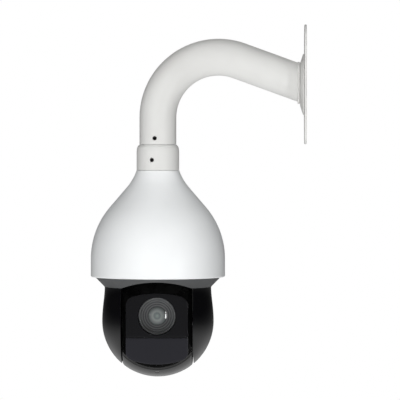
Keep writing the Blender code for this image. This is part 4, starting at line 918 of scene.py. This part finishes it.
def buildYokeArm(name):
    # flat plate: a disc about the tilt axis under a straight stem, with a hole for the bearing
    low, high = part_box("yoke_arm_" + name)
    bearingLow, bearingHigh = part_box("tilt_bearing_" + name)
    radius, stem = (high[1] - low[1]) / 2, yokeArm["stemHalfWidth"]
    hole = (bearingHigh[1] - bearingLow[1]) / 2 + gap
    top = high[2] - tiltZ
    angle = np.linspace(0.0, 2 * math.pi, 240, endpoint=False)
    c, s = np.cos(angle), np.sin(angle)
    stemReach = np.minimum(stem / np.maximum(np.abs(c), 1e-9), top / np.maximum(s, 1e-9))
    outline = np.where((s > 0) & (stemReach > radius), stemReach, radius)
    radii, depths = plateRings(outline, hole, yokeArm["edge"], high[0] - low[0], 4, 6)
    grid = np.stack([low[0] + depths, radii * c[:, None], tiltZ + radii * s[:, None]], axis=-1)
    obj = gridObject("visual_yoke_arm_" + name, grid, True, True)
    finish(obj, "yokePlastic", "yoke", ["yoke_arm_" + name])


print("yoke")
buildConeRing()
for side, name in ((-1, "left"), (1, "right")):
    buildSideCover(side, name)
    buildYokeArm(name)


ball = {"wall": 0.0025, "soft": 55.0, "holeRadius": 0.0135, "splitEdge": 0.0004}
window = {"halfWidth": 0.043, "topSag": 0.0065, "bottomSag": 0.0085, "topCorner": 0.012,
          "bottomCorner": 0.009, "lip": 0.0025, "edge": 0.0005}
lens = {"aperture": 0.0262, "elementRadius": 0.0128, "elementRise": 0.0024, "ridges": 7}
ballHalfWidth = (ballHigh[0] - ballLow[0]) / 2
frontLow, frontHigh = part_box("ball_front_shell")
bezelLow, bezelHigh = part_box("window_bezel")
windowLow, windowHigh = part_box("lens_window")
irLow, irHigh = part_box("ir_window")
ringLow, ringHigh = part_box("lens_ring")
glassLow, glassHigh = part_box("lens_glass")
lensCentre = np.array([panX, 0.0, (ringLow[2] + ringHigh[2]) / 2])


def ballReach(angle, depth, radius, halfWidth):
    # the smaller of the ball's circle at this depth and the flat side, blended where they meet
    circle = np.sqrt(np.maximum(radius ** 2 - depth ** 2, 1e-12))
    flat = halfWidth / np.maximum(np.abs(np.cos(angle)), 1e-6)
    soft = ball["soft"]
    ratio = np.minimum(circle, flat)
    larger = np.maximum(circle, flat)
    return ratio * (1.0 + (ratio / larger) ** soft) ** (-1.0 / soft)


def ballSurface(angle, depth, radius, halfWidth):
    reach = ballReach(angle, depth, radius, halfWidth)
    return np.stack([panX + reach * np.cos(angle), depth + 0 * angle,
                     tiltZ + reach * np.sin(angle)], axis=-1)


def sideAngles(count=480):
    # evenly spaced angles, one in each row
    return np.linspace(0.0, 2 * math.pi, count, endpoint=False)[:, None]


def outwardAt(angle):
    # directions straight away from the head's front-to-back axis
    return np.concatenate([np.cos(angle), 0 * angle, np.sin(angle)], axis=1)[:, None, :]


def sideHoles():
    holes = []
    for side in (-1, 1):
        end = ballHalfWidth
        r, e = ball["holeRadius"], 0.0004
        profile = np.array([(0.0, 0.02), (r, 0.02), (r, end - e), (r + e, end),
                            (r + e, end + 0.005), (0.0, end + 0.005)])
        holes.append(turned("side_drill", profile, tiltPoint, (side, 0, 0), 96, False))
    return holes


def buildFrontShell():
    # wall from the split line to the flat front, outside then inside
    angle = sideAngles()
    start, end, edge = frontHigh[1], frontLow[1], ball["splitEdge"]
    depth = np.concatenate([start - edge * np.array([0.0, 0.3, 1.0]),
                            np.linspace(start - edge, end + edge, 60)[1:-1],
                            [end + edge, end + edge * 0.3, end]])
    inset = np.concatenate([[edge, edge * 0.3, 0.0], np.zeros(58), [0.0, edge * 0.3, edge]])
    outer = ballSurface(angle, depth[None, :], ballRadius, ballHalfWidth)
    outer = outer - inset[None, :, None] * outwardAt(angle)
    wall = ball["wall"]
    innerDepth = np.linspace(end, start, 40)
    inner = ballSurface(angle, innerDepth[None, :], ballRadius - wall, ballHalfWidth - wall)
    obj = gridObject("head_front_shell", np.concatenate([outer, inner], axis=1), True, True, 35)
    drilled(obj, sideHoles() + [chinHole()], 35)
    finish(obj, "headGloss", "head", ["ball_front_shell"])


def buildRearShell():
    angle = sideAngles()
    start, edge, wall = ballLow[1], ball["splitEdge"], ball["wall"]
    swing = np.linspace(0.0, math.pi / 2, 80)
    depth = start + (ballRadius - start) * np.sin(swing)
    outer = ballSurface(angle, np.minimum(depth, ballRadius)[None, :], ballRadius, ballHalfWidth)
    direction = outwardAt(angle)
    lip = outer[:, :1] - edge * direction
    step = outer[:, :1] - edge * 0.3 * direction + np.array([0.0, edge * 0.3, 0.0])
    outer[:, 0, 1] += edge
    innerRadius = ballRadius - wall
    depth = start + (innerRadius - start) * np.sin(swing)
    inner = ballSurface(angle, np.minimum(depth, innerRadius)[None, :], innerRadius, ballHalfWidth - wall)
    grid = np.concatenate([outer[:, ::-1], step, lip, inner], axis=1)
    grid[:, 0] = [panX, ballRadius, tiltZ]
    grid[:, -1] = [panX, innerRadius, tiltZ]
    obj = gridObject("head_rear_shell", grid, True, False, 35)
    drilled(obj, sideHoles(), 35)
    finish(obj, "headGloss", "head", ["ball_rear_shell"])


def chinDirection():
    low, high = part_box("chin_screw")
    centre = np.array([(low[axis] + high[axis]) / 2 for axis in range(3)]) - tiltPoint
    return centre / np.linalg.norm(centre)


def chinHole():
    return holeCutter("chin_drill", tiltPoint, chinDirection(), 0.0024, ballRadius - 0.009,
                      ballRadius, 0.0006)


def buildChinScrew():
    length, inset = 0.0055, 0.0004
    direction = chinDirection()
    origin = tiltPoint + direction * (ballRadius - inset - length)
    obj = socketScrew("head_chin_screw", origin, direction, 0.0022, length, 0.0012, 0.0016, 0.0003)
    finish(obj, "groundSteel", "head", ["chin_screw"])


def windowLine(top, topSag, bottom, bottomSag, inset):
    # upper and lower edges are shallow arcs, joined to upright sides by round corners
    half = window["halfWidth"] - inset

    def edgeLine(height, sag, corner):
        if sag == 0.0:
            return np.array([(-half, height), (half, height)])
        radius = (window["halfWidth"] ** 2 + sag ** 2) / (2 * sag)
        x = np.linspace(-half, half, 41)
        x = x[np.abs(x) < half - corner]
        arc = np.stack([x, height - radius + np.sqrt(radius ** 2 - x ** 2)], axis=-1)
        endX, endZ = arc[-1]
        slope = endX / math.sqrt(radius ** 2 - endX ** 2)
        cornerZ = endZ - slope * (half - endX)
        share = np.linspace(0.0, 1.0, 12)[1:]
        sideX = endX * (1 - share) ** 2 + 2 * half * share * (1 - share) + half * share ** 2
        sideZ = (endZ * (1 - share) ** 2 + 2 * cornerZ * share * (1 - share)
                 + (cornerZ - corner) * share ** 2)
        right = np.stack([sideX, sideZ], axis=-1)
        left = right[::-1] * np.array([-1.0, 1.0])
        return np.concatenate([left, arc, right])

    upper = edgeLine(top - inset, topSag, window["topCorner"] - inset)
    lower = edgeLine(-bottom - inset, bottomSag, window["bottomCorner"] - inset)
    lower = lower[::-1] * np.array([1.0, -1.0])
    return np.concatenate([upper, lower])


def resampled(outline, count):
    # evenly spaced points along a closed outline, with its own corners kept
    closed = np.concatenate([outline, outline[:1]])
    length = np.concatenate([[0.0], np.cumsum(np.linalg.norm(np.diff(closed, axis=0), axis=1))])
    wanted = np.unique(np.concatenate([np.linspace(0.0, length[-1], count, endpoint=False), length[:-1]]))
    return np.stack([np.interp(wanted, length, closed[:, 0]), np.interp(wanted, length, closed[:, 1])], -1)


def slab(name, outline, centre, back, front, edge, dome=0.0):
    # outline pulled towards its centre ring by ring: back face, rounded edge, front face
    outline = resampled(outline, 240)
    spokes = outline - centre
    length = np.linalg.norm(spokes, axis=1)[:, None]
    quarter = np.radians(np.linspace(0, 90, 5))
    inset = np.concatenate([[0.0], edge - edge * np.cos(quarter)])
    depth = np.concatenate([[back], front + (edge - edge * np.sin(quarter)) * (1 if back > front else -1)])
    scale = 1.0 - inset[None, :] / length
    faceShare = np.linspace(1.0, 0.0, 9)[1:]
    scale = np.concatenate([0.0 * length, 0.5 + 0 * length, scale,
                            scale[:, -1:] * faceShare[None, :]], axis=1)
    depth = np.concatenate([[back, back], depth, front - dome * (1 - faceShare ** 2)])
    x = panX + centre[0] + spokes[:, :1] * scale
    z = tiltZ + centre[1] + spokes[:, 1:] * scale
    grid = np.stack([x, depth[None, :] + 0 * x, z], axis=-1)
    return gridObject(name, grid, True, False, 30)


splitZ = (windowLow[2] + irHigh[2]) / 2 - tiltZ
splitHalf = (windowLow[2] - irHigh[2]) / 2
windowTop, irBottom = windowHigh[2] - tiltZ, irLow[2] - tiltZ


def lensOutline(inset):
    return windowLine(windowTop, window["topSag"], splitZ + splitHalf, 0.0, inset)


def irOutline(inset):
    return windowLine(splitZ - splitHalf, 0.0, irBottom, window["bottomSag"], inset)


def buildBezel():
    # a slice of the ball behind the windows, drilled out behind each of them
    angle = sideAngles()[:, 0]
    back, front = bezelHigh[1], bezelLow[1]
    halfWidth = (bezelHigh[0] - bezelLow[0]) / 2
    edge = 0.0006
    depth = np.array([back, back, back - 0.0003, (back + front) / 2, front + edge,
                      front + edge * 0.3, front, front, front])
    backReach = ballReach(angle, back, ballRadius - gap, halfWidth)[:, None]
    middleReach = ballReach(angle, (back + front) / 2, ballRadius - gap, halfWidth)[:, None]
    frontReach = ballReach(angle, front, ballRadius, halfWidth)[:, None] - 0.0002
    zero = 0 * backReach
    reach = np.concatenate([zero, backReach - 0.0003, backReach, middleReach, frontReach,
                            frontReach - edge * 0.3, frontReach - edge, frontReach * 0.5, zero], 1)
    grid = np.stack([panX + reach * np.cos(angle)[:, None], depth[None, :] + 0 * reach,
                     tiltZ + reach * np.sin(angle)[:, None]], axis=-1)
    obj = gridObject("head_bezel", grid, True, False)
    cutters = []
    for outline, centre in ((lensOutline(window["lip"]), (0.0, lensCentre[2] - tiltZ)),
                            (irOutline(window["lip"]), (0.0, (splitZ + irBottom) / 2))):
        cutters.append(slab("window_drill", outline, np.array(centre), back + 0.01, front - 0.01,
                            0.0004))
    drilled(obj, cutters)
    finish(obj, "bezelBlackWithShade", "head", ["window_bezel"])


def lensMapping(material, scale=(1.0, 1.0, 1.0)):
    # position measured from the lens axis
    nodes, links = material.node_tree.nodes, material.node_tree.links
    coordinates = nodes.new("ShaderNodeTexCoord")
    mapping = nodes.new("ShaderNodeMapping")
    mapping.inputs["Location"].default_value = (-lensCentre[0], 0.0, -lensCentre[2])
    mapping.inputs["Scale"].default_value = scale
    links.new(coordinates.outputs["Object"], mapping.inputs["Vector"])
    return mapping.outputs["Vector"]


def lensDistance(material):
    # distance from the lens axis, with the depth along it left out
    distance = material.node_tree.nodes.new("ShaderNodeVectorMath")
    distance.operation = 'LENGTH'
    position = lensMapping(material, (1.0, 0.0, 1.0))
    material.node_tree.links.new(position, distance.inputs[0])
    return distance.outputs["Value"]


def windowMaterial(name, colour, aperture):
    # black-printed glass; inside the aperture round the lens axis it is nearly clear
    material, shader = newMaterial(name, colour, 0.03, coat=0.2, coatRoughness=0.02)
    varyRoughness(material, shader, 0.03, 25.0, 5.0)
    grain(material, shader, 30.0, 0.00001, 1.0)
    if aperture > 0.0:
        opaque = ranged(material, lensDistance(material), 0.05, 1.0,
                        aperture - 0.0003, aperture + 0.0003)
        material.node_tree.links.new(opaque, shader.inputs["Alpha"])
    return material


def ridged(name, dark, light, pitch):
    # light and dark rings painted round the lens axis as the light and shade of fine turned steps; a wave's
    # period is pi / (10 * scale)
    material = matteMoulding(name, dark, light, 0.45, 0.00001)
    nodes = material.node_tree.nodes
    paintedStepShade = nodes.new("ShaderNodeTexWave")
    paintedStepShade.wave_type = 'RINGS'
    paintedStepShade.rings_direction = 'Y'
    paintedStepShade.inputs["Scale"].default_value = math.pi / (10 * pitch)
    paintedStepShade.inputs["Distortion"].default_value = 0.4
    material.node_tree.links.new(lensMapping(material), paintedStepShade.inputs["Vector"])
    twoTone(material, nodes["Principled BSDF"], paintedStepShade.outputs["Fac"], dark, light)
    return material


def lensElementMaterial(name):
    # dark coated glass with painted reflections: the colour is a bright teal-grey in the middle and again in
    # a ring at half the radius, darker towards the rim
    material, shader = newMaterial(name, (0.05, 0.09, 0.09), 0.04, coat=1.0, coatRoughness=0.02)
    nodes, links = material.node_tree.nodes, material.node_tree.links
    ramp = nodes.new("ShaderNodeValToRGB")
    reflectionStops = [(0.0, (0.25, 0.29, 0.28)), (0.3, (0.14, 0.16, 0.157)), (0.5, (0.24, 0.26, 0.255)),
             (0.8, (0.13, 0.14, 0.14)), (1.0, (0.06, 0.065, 0.066))]
    ramp.color_ramp.elements[0].color = (*reflectionStops[0][1], 1.0)
    ramp.color_ramp.elements[1].color = (*reflectionStops[-1][1], 1.0)
    for position, colour in reflectionStops[1:-1]:
        ramp.color_ramp.elements.new(position).color = (*colour, 1.0)
    share = ranged(material, lensDistance(material), 0.0, 1.0, 0.0, lens["elementRadius"])
    links.new(share, ramp.inputs["Fac"])
    links.new(ramp.outputs["Color"], shader.inputs["Base Color"])
    grain(material, shader, 60.0, 0.000005, 1.0)
    return material


def buildWindows():
    back, front = windowHigh[1], windowLow[1]
    finishes["lensWindowGlass"] = windowMaterial("lensWindowGlass", (0.010, 0.010, 0.011),
                                                 lens["aperture"])
    # the IR window's lighter, bluish grey is partly painted reflection of the bright studio
    finishes["irWindowGlass"] = windowMaterial("irWindowGlass", (0.022, 0.022, 0.026), 0.0)
    centre = np.array([0.0, lensCentre[2] - tiltZ])
    obj = slab("head_lens_window", lensOutline(0.0), centre, back, front, window["edge"])
    finish(obj, "lensWindowGlass", "head", ["lens_window"])
    centre = np.array([0.0, (splitZ + irBottom) / 2])
    obj = slab("head_ir_window", irOutline(0.0), centre, back, front, window["edge"])
    finish(obj, "irWindowGlass", "head", ["ir_window"])


def buildLens():
    # turned front ring, a ridged baffle that steps down to the front element, and the element
    ringOuter = (ringHigh[0] - ringLow[0]) / 2
    ringBore = ringOuter - 0.003
    ringBack, ringFront = ringHigh[1], ringLow[1]
    depth = ringBack - ringFront
    profile = softCorners([(ringBore, 0.0), (ringOuter, 0.0), (ringOuter, depth),
                           (ringBore + 0.0016, depth), (ringBore, depth - 0.0016)],
                          [0.0003, 0.0003, 0.0005, 0.0004, 0.0003])
    # the ring's light and dark rings are painted light and shade of its turned steps
    finishes["lensRing"] = ridged("lensRing", (0.06, 0.062, 0.063), (0.125, 0.128, 0.129), 0.0032)
    origin = np.array([lensCentre[0], ringBack, lensCentre[2]])
    obj = turned("head_lens_ring", profile, origin, forward, 256)
    finish(obj, "lensRing", "head", ["lens_ring"])

    glassBack, glassFront = glassHigh[1], glassLow[1]
    outer, inner = (glassHigh[0] - glassLow[0]) / 2, lens["elementRadius"] + 0.0002
    count = lens["ridges"]
    radius = np.linspace(outer - 0.0006, inner, count * 12 + 1)
    share = (outer - 0.0006 - radius) / (outer - 0.0006 - inner)
    saw = np.mod(share * count, 1.0)
    height = (glassBack - glassFront) * (0.97 - 0.62 * share) - 0.0006 * saw
    stairs = np.stack([radius, np.maximum(height, 0.0012)], axis=-1)
    profile = np.concatenate([[(inner, 0.0), (outer, 0.0)], [(outer, stairs[0, 1])], stairs])
    # the baffle's light and dark rings are painted light and shade of its steps
    finishes["lensBaffle"] = ridged("lensBaffle", (0.045, 0.047, 0.049), (0.16, 0.163, 0.165), 0.0032)
    origin = np.array([lensCentre[0], glassBack, lensCentre[2]])
    obj = turned("head_lens_baffle", profile, origin, forward, 256, True, 25)
    finish(obj, "lensBaffle", "head", ["lens_glass"])

    finishes["lensElement"] = lensElementMaterial("lensElement")
    r = lens["elementRadius"]
    share = np.linspace(1.0, 0.0, 24)
    dome = np.stack([r * share, 0.0018 + lens["elementRise"] * (1 - share ** 2)], axis=-1)
    profile = np.concatenate([[(0.0, 0.0003), (r, 0.0003)], dome])
    obj = turned("head_lens_element", profile, origin, forward, 192, False)
    finish(obj, "lensElement", "head", ["lens_glass"])


print("head")
buildFrontShell()
buildRearShell()
buildChinScrew()
buildBezel()
buildWindows()
buildLens()


print("carried pieces")
carried = {
    "steel": "groundSteel", "black_steel": "blackSteel", "aluminium": "aluminium",
    "brass": "brass", "nylon": "nylon", "circuit_board": "circuitBoard", "clear_resin": "clearResin",
    "dark_plastic": "yokePlastic", "rubber": "rubber", "lens_coating": "lensElement",
    "ring_metal": "lensRing", "black_gloss": "headGloss", "window_glass": "irWindowGlass",
    "warm_grey_paint": "bracketPaint", "white_paint": "housingPaint",
}
slots = {piece["node"]: piece["material_slot"] for piece in frame["record"]["subparts"]}
for name, obj in frame["nodes"].items():
    obj.data.materials.clear()
    obj.data.materials.append(finishes[carried[slots[name]]])
